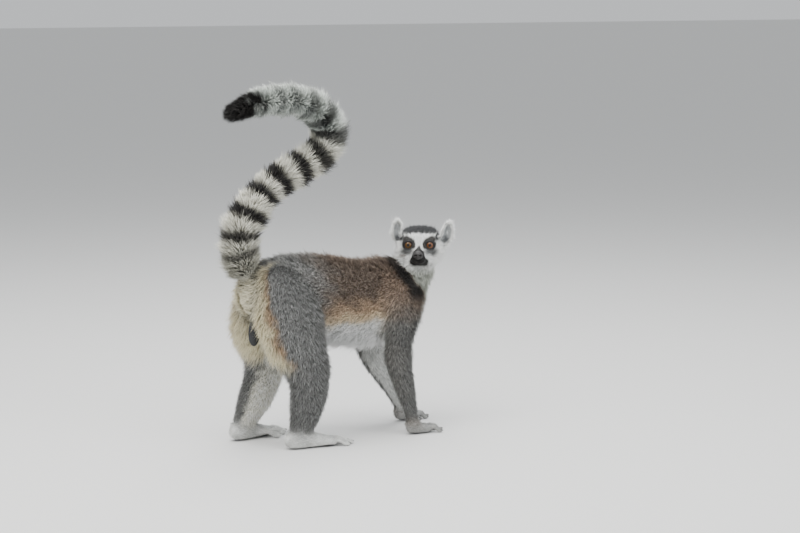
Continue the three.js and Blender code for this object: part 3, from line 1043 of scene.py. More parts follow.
# %% [markdown]
# The markings follow the body, so they are rules on the same places. The back is a grizzled grey-brown
# that warms on the flanks, the belly, throat and inner limbs are white, the hind side of the thighs is
# cream, and a slate collar runs from the nape down beside the throat. The face is white with a dark
# cap, black lozenges round the eyes and a black muzzle. The tail is ringed in black and white. Some
# colour is painted shade: the arms and shanks under the body, the lower throat, under the eyes and
# between the digits. The right cheek carries painted light.

# %% Colours and the rules for them
THROAT_TURN = 60  # degrees that the throat has turned to the right where it meets the chin
GREY = np.array([0.250, 0.252, 0.245])
SLATE = np.array([0.085, 0.088, 0.092])
BROWN = np.array([0.160, 0.118, 0.088])
RUST = np.array([0.620, 0.450, 0.300])
TAN = np.array([0.42, 0.27, 0.14])
SAND = np.array([0.80, 0.68, 0.50])
CREAM = np.array([0.66, 0.61, 0.46])
WHITE = np.array([0.74, 0.745, 0.72])
PALE = np.array([0.50, 0.50, 0.48])
BLACK = np.array([0.016, 0.015, 0.014])
SOLE = np.array([0.035, 0.034, 0.036])


def mix(a, b, t):
    return a + (b - a) * np.asarray(t)[:, None]


def all_over(colour):
    """One colour on every point of the skin."""
    return np.tile(colour, (len(at), 1))


def painted_shade_between_digits():
    """1 in the clefts between neighbouring fingers or toes, where shade is painted."""
    dark = np.zeros(len(at))
    for paw in PAWS:
        digits = [i for i, name in enumerate(names) if name.startswith(f"{paw}_digit")]
        nearest = np.sort(dist[digits], 0)
        dark = np.maximum(dark, ramp(nearest[0] - nearest[1], -3.2, -0.8) * ramp(-nearest[0], -2.5, -1))
    return dark


def body_colour():
    wobble = grain(at, 34, 1)
    fine = grain(at, 9, 2)
    warm = ramp(F + 8 * wobble, 55, 135)
    upper = mix(all_over(GREY * 1.1), BROWN, 0.88 * warm)
    pale = 0.7 * ramp(F + 8 * wobble, 185, 225) * ramp(-U, -262, -235)
    upper = mix(upper, BROWN * [1.75, 1.7, 1.65], pale)
    flank = ramp(-U + 6 * wobble, -226, -186) * ramp(F, 70, 130) * ramp(-F + 6 * wobble, -238, -196)
    c = mix(upper, RUST, 0.75 * flank)
    # Arms and the shoulder below the back: grey, darkened lower down as painted shade under the body.
    shoulder = np.clip(weight_of("upper_arm", "forearm") + weight[0] * ramp(F, 222, 246), 0, 1)
    c = mix(c, GREY * [0.55, 0.56, 0.56], shoulder * ramp(-U + 6 * wobble, -236, -170) * 0.95)
    # Thighs and shanks are plain grey outside; the shanks' darker grey is partly painted shade under the
    # body.
    c = mix(c, GREY * 0.86, np.clip(thigh_w + shank_w, 0, 1))
    c = mix(c, GREY * 0.66, np.clip(shank_w, 0, 1))
    c = mix(c, SLATE * 0.8, 0.75 * cleft)
    # The belly is white below a tan band, and so is the chest.
    trunk_w = weight[0] + weight[1]
    under = ramp(-U + 3.0 * wobble + 1.5 * fine, -184, -176)
    band = ramp(-U + 4 * wobble, -197, -186) * (1 - under)
    along_belly = ramp(F, 78, 100)
    c = mix(c, SAND, 0.6 * band * along_belly * trunk_w * ramp(-F, -235, -215))
    c = mix(c, WHITE * 1.2, under * along_belly * trunk_w)
    # Rear of the thighs and rump: cream, with a tan edge against the grey.
    edge = thigh_turn + 6 * wobble + 4 * fine
    edge = from_angle(-110, edge)
    high = ramp(U + 4 * fine, 118, 148)
    rear = ramp(edge, 52, 68) * ramp(-edge, -262, -240) * high
    tan = ramp(edge, 38, 54) * (1 - ramp(edge, 60, 76)) * high
    c = mix(c, TAN, 0.7 * tan * thigh_w)
    c = mix(c, CREAM * [1.0, 0.97, 0.9], rear * thigh_w)
    inside_leg = np.maximum(ramp(-U, -170, -140), 0.5 * ramp(-U, -265, -240))
    c = mix(c, WHITE * 0.92, ramp(edge, 150, 172) * ramp(-edge, -262, -240) * thigh_w * inside_leg)
    rump = ramp(-F + 3 * wobble, -16, 2) * weight[0]
    c = mix(c, CREAM, rump)
    inner = from_angle(-100, shank_turn) + 8 * fine
    inside_shank = ramp(inner + 6 * wobble, 118, 160) * ramp(-inner, -268, -240) * shank_w
    c = mix(c, WHITE * [1.2, 1.17, 1.07], inside_shank)
    for kind, turned in (("upper_arm", arm_turn), ("forearm", forearm_turn)):
        w = weight_of(kind)
        a = from_angle(-100, turned) + 6 * fine
        c = mix(c, WHITE * 0.85, ramp(a, 100, 125) * ramp(-a, -285, -262) * w)
        rim = ramp(-np.abs(np.where(turned > 100, turned - 360, turned) + 92), -26, -8)
        c = mix(c, PALE, 0.7 * rim * w)
    # Feet and hands: pale above, dark on the soles, palms and finger tips.
    foot_w, hand_w = weight_of("foot"), weight_of("hand")
    speck = np.clip(0.5 + 0.5 * fine, 0, 1)
    c = mix(c, mix(all_over(WHITE * 0.98), PALE * 0.9, 0.45 * speck), foot_w)
    c = mix(c, mix(all_over(PALE * 0.72), GREY, 0.5 * speck), hand_w)
    # Painted shade in the clefts between the digits.
    c = mix(c, SLATE * 0.9, 0.8 * painted_shade_between_digits())
    sole = ramp(-normal[:, 2], 0.75, 0.92) * ramp(-U, -7, -3)
    c = mix(c, SOLE, np.clip((foot_w + hand_w) * sole, 0, 1))
    return c, wobble, fine


THROAT_EDGE = ((-80, 9), (-61, 1), (-46, -10), (-35, -22), (-17, -36), (0, -60))  # up, left


def throat_seen_from_chin():
    """How far inside the throat's white each point is, mm, on the side that the face looks over."""
    edge = np.interp(H[:, 2], *zip(*THROAT_EDGE))
    toward = -normal @ HEAD_ROT[:, 1]
    return H[:, 1] - edge, ramp(toward, -0.25, 0.05) * ramp(H[:, 0], -95, -70) * ramp(-H[:, 2], 12, 20)


def neck_colour(c, wobble, fine):
    """White throat with painted shade low down, slate collar beside it, brown nape. It turns with the head.
    """
    twist = -90 - THROAT_TURN * ramp(along[1], 0.15, 0.85)
    round_neck = np.degrees(np.arctan2(turn[1, :, 1], turn[1, :, 0]))
    off = np.abs((round_neck - twist + 180) % 360 - 180) + 5 * wobble + 2 * fine
    w = np.clip(weight[1] + weight[-1] * ramp(-H[:, 0], 15, 35) + weight[0] * ramp(F, 225, 255), 0, 1)
    w *= ramp(U, 165, 190)
    inside, seen = throat_seen_from_chin()
    inside = inside + 1.5 * wobble + 0.8 * fine
    w = np.maximum(w, seen * ramp(F, 218, 238) * ramp(U, 172, 196) * (weight[-1] < 0.5))
    collar = ramp(off, 52, 62) * (1 - ramp(off, 84, 104)) * ramp(U, 196, 218)
    white = ramp(-off, -66, -54)
    collar += seen * (ramp(inside, -25, -12) * ramp(-inside, -1, 3) * ramp(U, 198, 222) - collar)
    white += seen * (ramp(inside, -1.5, 2.5) - white)
    c = mix(c, SLATE * 0.24, 0.94 * collar * w * (1 - 0.45 * ramp(U, 248, 276)))
    # Painted shade: the throat is darker low down and whiter towards the chin.
    throat = mix(all_over(WHITE * [0.54, 0.555, 0.51]), WHITE * 0.95, ramp(U, 246, 264))
    return mix(c, throat, white * w)


def ear_colour(jag):
    """White hair over the back and edges, and a grey bowl, darkest low down in front."""
    c = all_over(WHITE * 0.98)
    out, side, front = ear_at.T
    bowl = front * ramp(-np.abs(side) - 0.05 * jag, -0.8, -0.5) * ramp(-out, -0.8, -0.6)
    streak = 0.5 + 0.5 * np.sin(17 * np.arctan2(side, out - 0.1) + 2 * jag)
    c = mix(c, SLATE * [3.1, 3.25, 3.35], (0.35 + 0.5 * streak) * bowl)
    rise = out - 0.27 + 0.06 * side
    notch = front * ramp(-np.hypot((side - 0.35) / 0.55, rise / 0.085), -1.2, -0.7)
    return mix(c, SLATE * 1.2, 0.9 * notch)


def face_colour(c):
    """White face, dark cap, black round the eyes and on the muzzle, and the ears with them."""
    f, l, u = H[:, 0], H[:, 1], H[:, 2]
    w = weight[-1]
    head = w > 0.02
    a = np.abs(l)
    jag = 0.7 * grain(at, 5, 5)
    face = all_over(WHITE * 1.08)
    # Cap over the crown, drawn down as a stripe before each ear.
    arch = 15.6 - 0.0020 * l**2
    top = ramp(u - arch + jag, -1.0, 1.4)
    stripe = ramp(a + jag, 22.3, 23.8) * (1 - ramp(a + jag, 31.0, 34.0)) * ramp(u + jag, 3, 8)
    behind = ramp(-f, 20, 30) * ramp(u, -12, 2)
    cap = np.clip(np.maximum(top, np.maximum(stripe * ramp(-f, -3, 3), behind)), 0, 1)
    face = mix(face, WHITE * 1.3, ramp(-np.abs(l), -17, -12) * ramp(u, -2, 6) * ramp(f, -16, -8))
    face = mix(face, SLATE * 0.35, cap)
    # Painted light: the lower cheek is whitened on the right side only.
    face = mix(face, WHITE * 1.24, ramp(-l, 9, 20) * ramp(-u, 0, 12) * ramp(-f, -14, 4))
    # Lozenge round each eye, peaked up and out, fading below.
    x = a - EYE_APART / 2
    peak = np.hypot(x / (9.6 + 1.2 * (x < 0)), (u - 1.2) / np.where(u > 0, 11.2, 8.8))
    corner = np.hypot((x - 2.5) / 6.5, (u - 8.5) / 5.0)
    patch = np.maximum(ramp(-peak + 0.09 * jag, -1.12, -0.8), ramp(-corner, -1.15, -0.75))
    nose_side = np.hypot((x + 7.2) / 5.0, (u + 0.2) / 5.6)
    patch = np.maximum(patch, ramp(-nose_side, -1.1, -0.8)) * ramp(f, -14, -8)
    # Painted shade: a grey smudge below and outside each eye.
    shade = ramp(-np.hypot((x - 1.0) / 11.5, (u + 9.0) / 7.5), -1.2, -0.45) * ramp(f, -16, -8)
    face = mix(face, SLATE * 0.46, 0.88 * shade)
    face = mix(face, BLACK * 2.3, np.clip(patch, 0, 1))
    # Black muzzle: its upper edge is a wedge that runs up the bridge.
    reach = np.interp(u, [-31, -29, -27, -23, -16, -9, -2.5, -1], [7, 10, 13.2, 14, 10.6, 8, 2, -1])
    wedge = ramp(reach - a + 0.5 * jag, -0.9, 0.9) * ramp(f, 7, 11) * ramp(u, -31.5, -29.5)
    face = mix(face, BLACK * 1.1, wedge)
    chin = ramp(-u, 25, 28) * ramp(f, 0, 10)
    face = mix(face, PALE, 0.5 * chin * (1 - wedge))
    face = mix(face, ear_colour(jag), ear * 1.0)
    return np.where(head[:, None], mix(c, face, ramp(w, 0.15, 0.6)), c)


RINGS = [  # middle of each dark ring along the tail, half its width, how dark, mm
    (56, 4, 0.7), (85, 7, 0.95), (122, 8, 1), (163, 8.5, 1), (199, 9, 1), (237, 9, 1), (273, 9.5, 0.95),
    (310, 9.5, 0.85), (347, 9.5, 0.7), (384, 9, 0.52), (420, 9, 0.42), (452, 8, 0.45),
]
# How far the hair's tips lie past its roots: place of the root along the tail, and reach, mm.
HAIR_DRIFT = ((0, 0), (50, 2), (88, 9), (127, 14), (168, 17), (560, 17))


def ring_mask(run):
    """1 on the dark rings along the tail, and on its dark tip."""
    black = ramp(run + 13 * grain(at, 13, 21), 466, 508)
    for middle, half, depth in RINGS:
        black = np.maximum(black, depth * ramp(-np.abs(run - middle), -half - 3.0, -half + 1.5))
    return black


def tail_colour(c):
    root = np.interp(along[2], chains[2].u, chains[2].run)
    run = root + np.interp(root, *zip(*HAIR_DRIFT)) + 1.5 * grain(at, 9, 7)
    at_root = all_over(CREAM * [0.52, 0.55, 0.62])
    white = mix(at_root, WHITE * [0.74, 0.72, 0.65], ramp(run, 30, 75))
    white = mix(white, PALE * [0.82, 0.95, 1.0], 0.5 * ramp(run, 280, 330))
    return mix(c, mix(white, BLACK, ring_mask(run)), weight[2])


colour, wobble, fine = body_colour()
colour = neck_colour(colour, wobble, fine)
colour = tail_colour(colour)
colour = face_colour(colour)
colour = mix(colour, SLATE * 0.7, weight[3])
luma = colour @ [0.3, 0.6, 0.1]
speckle = 0.09 + 0.20 * ramp(-np.abs(luma - 0.2), -0.18, -0.05) * (1 - weight[2])
print("mean colour", colour.mean(0).round(3))

# %% [markdown]
# The skin shows through thin hair, so it carries the same markings, darkened as painted shade: most under
# the coat, a little on the paws. They are stored as a colour on each point. Very short hair is a fine bump.


# %% Skin piece
def colour_layer(mesh, name, values):
    layer = mesh.attributes.new(name, "FLOAT_COLOR", "POINT")
    data = np.ones((len(mesh.vertices), 4), np.float32)
    data[:, :3] = values
    layer.data.foreach_set("color", data.ravel())


def principled(name, rough, coat_weight=0.0, specular=0.5):
    material = bpy.data.materials.new(name)
    material.use_nodes = True
    shader = material.node_tree.nodes["Principled BSDF"]
    shader.inputs["Roughness"].default_value = rough
    shader.inputs["Specular IOR Level"].default_value = specular
    if coat_weight:
        shader.inputs["Coat Weight"].default_value = coat_weight
        shader.inputs["Coat Roughness"].default_value = 0.03
    return material, material.node_tree, shader


def coloured(name, layer, rough, bump=0.0, size=900.0, specular=0.5, coat_weight=0.0):
    material, tree, shader = principled(name, rough, coat_weight, specular)
    read = tree.nodes.new("ShaderNodeAttribute")
    read.attribute_name = layer
    tree.links.new(read.outputs["Color"], shader.inputs["Base Color"])
    if bump:
        where = tree.nodes.new("ShaderNodeTexCoord")
        noise = tree.nodes.new("ShaderNodeTexNoise")
        noise.inputs["Scale"].default_value = size
        noise.inputs["Detail"].default_value = 3.0
        height = tree.nodes.new("ShaderNodeBump")
        height.inputs["Strength"].default_value = bump
        height.inputs["Distance"].default_value = 0.0006
        tree.links.new(where.outputs["Object"], noise.inputs["Vector"])
        tree.links.new(noise.outputs["Fac"], height.inputs["Height"])
        tree.links.new(height.outputs["Normal"], shader.inputs["Normal"])
    return material


def outward(points, faces):
    """The faces, turned over if they point inward."""
    p, q, r = (points[faces[:, i]] for i in range(3))
    return faces if (np.cross(p, q) * r).sum() > 0 else faces[:, ::-1]


def new_piece(name, points, faces, material):
    made = bpy.data.objects.new(name, bpy.data.meshes.new(name))
    bpy.context.scene.collection.objects.link(made)
    fill_mesh(made.data, points, faces)
    made.data.materials.append(material)
    return made


def plain(name, colour, rough, bump=0.4, size=1500.0, depth=0.0002, specular=0.5, spread=0.3):
    """One colour, broken by noise in both the colour and the surface."""
    material, tree, shader = principled(name, rough, specular=specular)
    where = tree.nodes.new("ShaderNodeTexCoord")
    noise = tree.nodes.new("ShaderNodeTexNoise")
    noise.inputs["Scale"].default_value = size
    noise.inputs["Detail"].default_value = 4.0
    shades = tree.nodes.new("ShaderNodeValToRGB")
    shades.color_ramp.elements[0].position, shades.color_ramp.elements[1].position = 0.3, 0.7
    shades.color_ramp.elements[0].color = (*[c * (1 - spread) for c in colour], 1)
    shades.color_ramp.elements[1].color = (*[min(c * (1 + spread), 1) for c in colour], 1)
    height = tree.nodes.new("ShaderNodeBump")
    height.inputs["Strength"].default_value = bump
    height.inputs["Distance"].default_value = depth
    tree.links.new(where.outputs["Object"], noise.inputs["Vector"])
    tree.links.new(noise.outputs["Fac"], shades.inputs["Fac"])
    tree.links.new(shades.outputs["Color"], shader.inputs["Base Color"])
    tree.links.new(noise.outputs["Fac"], height.inputs["Height"])
    tree.links.new(height.outputs["Normal"], shader.inputs["Normal"])
    return material


skin_material = coloured("skin and underfur", "marking", 0.75, bump=0.5, specular=0.25)
hair_w = 1 - np.clip(paws, 0, 1)
# Painted shade: the markings darkened on the skin, most where the coat covers it.
colour_layer(skin.data, "marking", colour * (0.9 - 0.3 * hair_w)[:, None])
skin.data.materials.clear()
skin.data.materials.append(skin_material)
skin.data.vertices.foreach_set("co", to_frame(at).astype(np.float32).ravel())
skin.data.update()
skin.data.polygons.foreach_set("use_smooth", np.ones(len(skin.data.polygons), bool))
print("skin piece ready")

# %% [markdown]
# An eyeball is a smooth ball under a clear cornea. The colour is set by the angle from the line of sight:
# a small black pupil, an amber iris streaked from the centre outward with a darker rim, and dark brown
# beyond, which the lids hide. The clear cornea is a gloss coat on the same surface.


# %% Eyes
AMBER = np.array([0.165, 0.085, 0.030])
EYE_RINGS, EYE_SIDES = 96, 128
PUPIL, IRIS = math.radians(13.5), math.radians(36)


def ball_grid(centre, radius, bulge):
    """A ball with its poles on the line of sight, in head axes, slightly fuller over the pupil."""
    angle = np.linspace(0, math.pi, EYE_RINGS + 1)[1:-1]
    turned = np.linspace(0, 2 * math.pi, EYE_SIDES, endpoint=False)
    r = radius + bulge * np.exp(-((angle / 0.5) ** 2))
    off_axis = np.repeat(r * np.sin(angle), EYE_SIDES)
    ring = np.stack(
        [
            np.repeat(r * np.cos(angle), EYE_SIDES),
            off_axis * np.tile(np.cos(turned), EYE_RINGS - 1),
            off_axis * np.tile(np.sin(turned), EYE_RINGS - 1),
        ],
        1,
    )
    points = np.concatenate([[[radius + bulge, 0, 0]], ring, [[-radius, 0, 0]]]) + centre
    n = EYE_SIDES
    i = 1 + np.arange(EYE_RINGS - 2)[:, None] * n + np.arange(n)
    j = 1 + np.arange(EYE_RINGS - 2)[:, None] * n + (np.arange(n) + 1) % n
    faces = [np.stack([i, i + n, j + n], -1).reshape(-1, 3), np.stack([i, j + n, j], -1).reshape(-1, 3)]
    k = np.arange(n)
    faces.append(np.stack([0 * k, 1 + k, 1 + (k + 1) % n], 1))
    last = len(points) - 1
    faces.append(np.stack([0 * k + last, last - n + (k + 1) % n, last - n + k], 1))
    return points, np.concatenate(faces)


def eye_colour(points, centre, warmth):
    q = points - centre
    away = np.arccos(np.clip(q[:, 0] / np.linalg.norm(q, axis=1), -1, 1))
    turned = np.arctan2(q[:, 2], q[:, 1])
    streak = sum(np.sin(k * turned + p) for k, p in ((17, 0.3), (29, 1.9), (43, 4.0), (61, 2.2))) / 4
    iris = mix(np.tile(AMBER * warmth, (len(q), 1)), AMBER * warmth * [0.5, 0.4, 0.3], 0.5 + 0.5 * streak)
    iris = mix(iris, AMBER * warmth * [0.42, 0.28, 0.2], ramp(-away, -PUPIL * 2.0, -PUPIL * 1.1))
    iris = mix(iris, np.array([0.06, 0.022, 0.008]), ramp(away, IRIS * 0.62, IRIS * 0.95))
    c = mix(np.tile(BLACK * 0.4, (len(q), 1)), iris, ramp(away, PUPIL * 0.94, PUPIL * 1.06))
    return mix(c, np.array([0.02, 0.012, 0.008]), ramp(away, IRIS * 1.0, IRIS * 1.06))


eye_material = coloured("eye", "marking", 0.35, specular=0.15, coat_weight=0.4)
eyes = []
for side, sign, warmth in (("left", 1, (1.05, 0.85, 0.8)), ("right", -1, (0.95, 1.1, 0.9))):
    centre = np.array([-EYE_DEPTH, sign * EYE_APART / 2, 0])
    p, f = ball_grid(centre, EYE_RADIUS - 0.05, 0.25)
    made = new_piece(f"eyeball_{side}", to_frame(from_head(p)), outward(p - centre, f), eye_material)
    colour_layer(made.data, "marking", eye_colour(p, centre, np.array(warmth)))
    eyes.append(made)
print("eyes", [len(e.data.polygons) for e in eyes])

# %% [markdown]
# The lids are black rims of bare skin that hug the ball. Each pair is one closed ring: it starts at the
# opening, thickens outward over the ball and dives under the skin of the face. The opening is a little
# wider than it is tall.


# %% Lids
def lid_ring(sign):
    turned = np.linspace(0, 2 * math.pi, 120, endpoint=False)
    side, up = np.cos(turned), np.sin(turned)
    opening = np.radians(35.0 + 4.0 * side**2 - 2.0 * np.maximum(up, 0) ** 2)
    profile = [
        (0.0, 8.64), (0.4, 9.05), (2.0, 9.5), (5.5, 9.95), (10, 10.25), (15, 10.35),
        (20, 10.2), (25, 9.7), (25, 9.0), (15, 8.8), (6, 8.7), (2, 8.66),
    ]
    rows = []
    for degrees, radius in profile:
        fold = 0.12 * np.sin(3 * turned + 1.0) * (degrees > 4)
        a = opening + math.radians(degrees)
        r = radius + fold + 0.25 * np.maximum(up, 0) * (2 < degrees < 24)
        rows.append(np.stack([r * np.cos(a), sign * r * np.sin(a) * side, r * np.sin(a) * up], 1))
    points = np.stack(rows, 1)  # around, profile
    n, m = points.shape[:2]
    i, j = np.arange(n)[:, None], np.arange(m)
    a, b = i * m + j, i * m + (j + 1) % m
    c, d = ((i + 1) % n) * m + (j + 1) % m, ((i + 1) % n) * m + j
    faces = np.concatenate([np.stack([a, b, c], -1).reshape(-1, 3), np.stack([a, c, d], -1).reshape(-1, 3)])
    return points.reshape(-1, 3) + [-EYE_DEPTH, sign * EYE_APART / 2, 0], faces


lid_material = plain("lid skin", (0.012, 0.011, 0.011), 0.55, size=2200, specular=0.25)
lids = []
for side, sign in (("left", 1), ("right", -1)):
    p, f = lid_ring(sign)
    p = from_head(p)
    lids.append(new_piece(f"lids_{side}", to_frame(p), outward(p - p.mean(0), f), lid_material))
print("lids", [len(o.data.polygons) for o in lids])

# %% [markdown]
# The nose is a naked pad of fine pebbled skin, always a little moist. Its nostrils are commas that open
# forward and curl out to the sides, with a groove between them. It comes out of a small field of its own.


# %% Nose
def nose_field(p):
    m = np.stack([p[:, 0], np.abs(p[:, 1]), p[:, 2]], 1)
    d = ball(m, (36.5, 0, -12.6), (7.6, 7.0, 6.0))
    d = smin(d, ball(m, (38.6, 4.2, -13.8), (5.0, 3.4, 3.9)), 1.5)
    d = smin(d, ball(m, (37.5, 0, -16.4), (5.4, 2.6, 3.6)), 2.0)
    hole = ball(m, (44.2, 3.3, -13.6), (4.2, 1.9, 1.6))
    slit = bar(m, (43, 4.1, -13.4), (39.6, 7.4, -14.8), 1.3, 0.6)
    d = smax(d, -smin(hole, slit, 0.9), 0.8)
    groove = 0.55 * np.exp(-((m[:, 1] / 0.5) ** 2)) * (p[:, 0] > 38)
    return d + groove * np.clip((-p[:, 2] - 11) / 3, 0, 1)


def field_mesh(function, lo, hi, cell):
    lo, hi = np.array(lo, float), np.array(hi, float)
    count = np.ceil((hi - lo) / cell).astype(int) + 1
    line = [lo[i] + cell * np.arange(count[i]) for i in range(3)]
    block = np.stack(np.meshgrid(*line, indexing="ij"), -1)
    points, quads = surface_nets(function(block.reshape(-1, 3)).reshape(count), lo, cell)
    for _ in range(2):
        d, e = function(points), 0.05
        slope = np.stack([function(points + e * np.eye(3)[i]) - d for i in range(3)], 1) / e
        points = points - 0.9 * (d / np.maximum((slope**2).sum(1), 0.3))[:, None] * slope
    return points, np.concatenate([quads[:, :3], quads[:, [0, 2, 3]]])


NOSE_BLACK = (0.034, 0.032, 0.032)
nose_material = plain("nose pad", NOSE_BLACK, 0.5, bump=0.8, size=2600, depth=0.00035, specular=0.3)
p, f = field_mesh(nose_field, (26, -10, -22), (46, 10, -5), 0.36)
p = from_head(p)
nose = new_piece("nose_pad", to_frame(p), outward(p - p.mean(0), f), nose_material)
print("nose", len(f), "faces")

# %% [markdown]
# Every finger and toe ends in a small dark nail, lying on top of the tip. They are all alike, so Geometry
# Nodes set one shape on a point for each digit, turned the way the digit points.


# %% A tree that sets one shape on many points
def scatter_tree(name, inputs, make_shape, material):
    """Points with a heading carry the shape that make_shape builds from the named inputs."""
    tree = bpy.data.node_groups.new(name, "GeometryNodeTree")
    tree.interface.new_socket("Points", in_out="INPUT", socket_type="NodeSocketGeometry")
    for label in inputs:
        tree.interface.new_socket(label, in_out="INPUT", socket_type="NodeSocketFloat")
    tree.interface.new_socket("Mesh", in_out="OUTPUT", socket_type="NodeSocketGeometry")
    start, end = tree.nodes.new("NodeGroupInput"), tree.nodes.new("NodeGroupOutput")
    shape = make_shape(tree, start)
    heading = tree.nodes.new("GeometryNodeInputNamedAttribute")
    heading.data_type = "FLOAT_VECTOR"
    heading.inputs["Name"].default_value = "heading"
    turn = tree.nodes.new("FunctionNodeAlignEulerToVector")
    turn.axis = "X"
    place_on = tree.nodes.new("GeometryNodeInstanceOnPoints")
    real = tree.nodes.new("GeometryNodeRealizeInstances")
    paint = tree.nodes.new("GeometryNodeSetMaterial")
    paint.inputs["Material"].default_value = material
    link = tree.links.new
    link(heading.outputs["Attribute"], turn.inputs["Vector"])
    link(start.outputs["Points"], place_on.inputs["Points"])
    link(shape, place_on.inputs["Instance"])
    link(turn.outputs["Rotation"], place_on.inputs["Rotation"])
    link(place_on.outputs["Instances"], real.inputs["Geometry"])
    link(real.outputs["Geometry"], paint.inputs["Geometry"])
    link(paint.outputs["Geometry"], end.inputs["Mesh"])
    return tree


def scatter(name, points, headings, inputs, make_shape, material):
    seed = bpy.data.objects.new(name + "_points", bpy.data.meshes.new(name + "_points"))
    seed.data.vertices.add(len(points))
    seed.data.vertices.foreach_set("co", np.asarray(points, np.float32).ravel())
    layer = seed.data.attributes.new("heading", "FLOAT_VECTOR", "POINT")
    layer.data.foreach_set("vector", np.asarray(headings, np.float32).ravel())
    bpy.context.scene.collection.objects.link(seed)
    modifier = seed.modifiers.new("set out", "NODES")
    tree = scatter_tree(name, inputs, make_shape, material)
    modifier.node_group = tree
    for item in tree.interface.items_tree:
        if item.in_out == "INPUT" and item.name in inputs:
            modifier[item.identifier] = inputs[item.name]
    graph = bpy.context.evaluated_depsgraph_get()
    mesh = bpy.data.meshes.new_from_object(seed.evaluated_get(graph), depsgraph=graph)
    bpy.data.objects.remove(seed)
    made = bpy.data.objects.new(name, mesh)
    bpy.context.scene.collection.objects.link(made)
    return made


def nail_shape(tree, start):
    """A ball stretched along the digit and flattened, so that half of it shows."""
    ball_node = tree.nodes.new("GeometryNodeMeshUVSphere")
    ball_node.inputs["Segments"].default_value = 16
    ball_node.inputs["Rings"].default_value = 10
    ball_node.inputs["Radius"].default_value = 1.0
    size = tree.nodes.new("ShaderNodeCombineXYZ")
    for label, axis in (("Length", "X"), ("Width", "Y"), ("Height", "Z")):
        tree.links.new(start.outputs[label], size.inputs[axis])
    form = tree.nodes.new("GeometryNodeTransform")
    tree.links.new(ball_node.outputs["Mesh"], form.inputs["Geometry"])
    tree.links.new(size.outputs["Vector"], form.inputs["Scale"])
    return form.outputs["Geometry"]


NAIL_SIZE = {"Length": 0.0031, "Width": 0.0019, "Height": 0.0011}
print("half sizes of a nail in metres", NAIL_SIZE)

# %% [markdown]
# Each nail sits just above the middle of its tip and points the way the last joint does, tilted a little
# down, so that its lower half is sunk in the flesh as on a living finger.

# %% Nails
nail_material = plain("nail", (0.03, 0.027, 0.025), 0.38, bump=0.3, size=1200)
tips, headings = [], []
for chain in chains:
    if "digit" not in chain.name:
        continue
    ahead = unit(chain.mid[-1] - chain.mid[-5])
    tips.append(to_frame(chain.mid[-1] + [0, 0, chain.size[-1, 1] * 0.75]) + ahead * 0.0004)
    headings.append(unit(ahead - [0, 0, 0.35]))
nails = scatter("nails", tips, headings, NAIL_SIZE, nail_shape, nail_material)
print("nails", len(tips), "faces", len(nails.data.polygons))

# %% [markdown]
# The coat is some hundred thousand tufts, each a thin curved spike with three sides and a closed root.
# Their roots are spread evenly over the skin by area and density. A tuft leaves the skin at one angle,
# bends over to lie along the body and ends in a point. It takes its colour from the markings at its
# root, darker there as painted shade in the depth of the coat and lighter at the tip as painted light,
# and no two are quite alike. Arrays make them all at once. Each tuft also has a patch in a map of the
# skin, which is laid out as one strip for each part.


# %% Where the tufts grow
def spread_roots():
    corner = at[faces]
    area = np.linalg.norm(np.cross(corner[:, 1] - corner[:, 0], corner[:, 2] - corner[:, 0]), axis=1) / 2
    share = area * (coat[:, DENSITY] * ~bare)[faces].mean(1)
    total = np.cumsum(share)
    number = int(total[-1])
    pick = np.searchsorted(total, (np.arange(number) + rng.random(number)) * total[-1] / number)
    a, b = np.sqrt(rng.random(number)), rng.random(number)
    return faces[np.minimum(pick, len(faces) - 1)], np.stack([1 - a, a * (1 - b), a * b], 1)


roots, share = spread_roots()


def at_roots(values):
    """Values of the skin's points, mixed for each root."""
    mixed = share if values.ndim == 1 else share[..., None]
    return (values[roots] * mixed).sum(1)


part = order[roots[:, 0]]
print("tufts", len(roots), tally(part))

# %% [markdown]
# A texture baked for the coat needs a flat map. Each part becomes a strip: its width is the turn round
# the part and its height the way along it, and the tufts of a place share a small patch there.

# %% The map of the skin
def strip_map():
    """For each point of the skin: the turn round its part, and the way along, each 0 to 1."""
    n = np.arange(len(at))
    inner = np.minimum(order, len(chains) - 1)
    t = turn[inner, n]
    across = np.arctan2(t[:, 1], t[:, 0]) / (2 * math.pi) % 1
    way = along[inner, n]
    is_head = order == len(chains)
    q = H - [-20, 0, -2]
    polar = np.arccos(np.clip(q[:, 0] / np.maximum(np.linalg.norm(q, axis=1), 1e-6), -1, 1)) / math.pi
    across = np.where(is_head, np.arctan2(q[:, 2], q[:, 1]) / (2 * math.pi) % 1, across)
    way = np.where(is_head, polar, way)
    return np.stack([across, way], 1)


skin_map = strip_map()
print("the map runs from", skin_map.min(0).round(2), "to", skin_map.max(0).round(2))

# %% [markdown]
# A hair system would draw such a coat as curves, but this figure needs solid shapes. So every tuft is a
# few rows of three points round a bent spine, worked out for many thousands of tufts at a time.

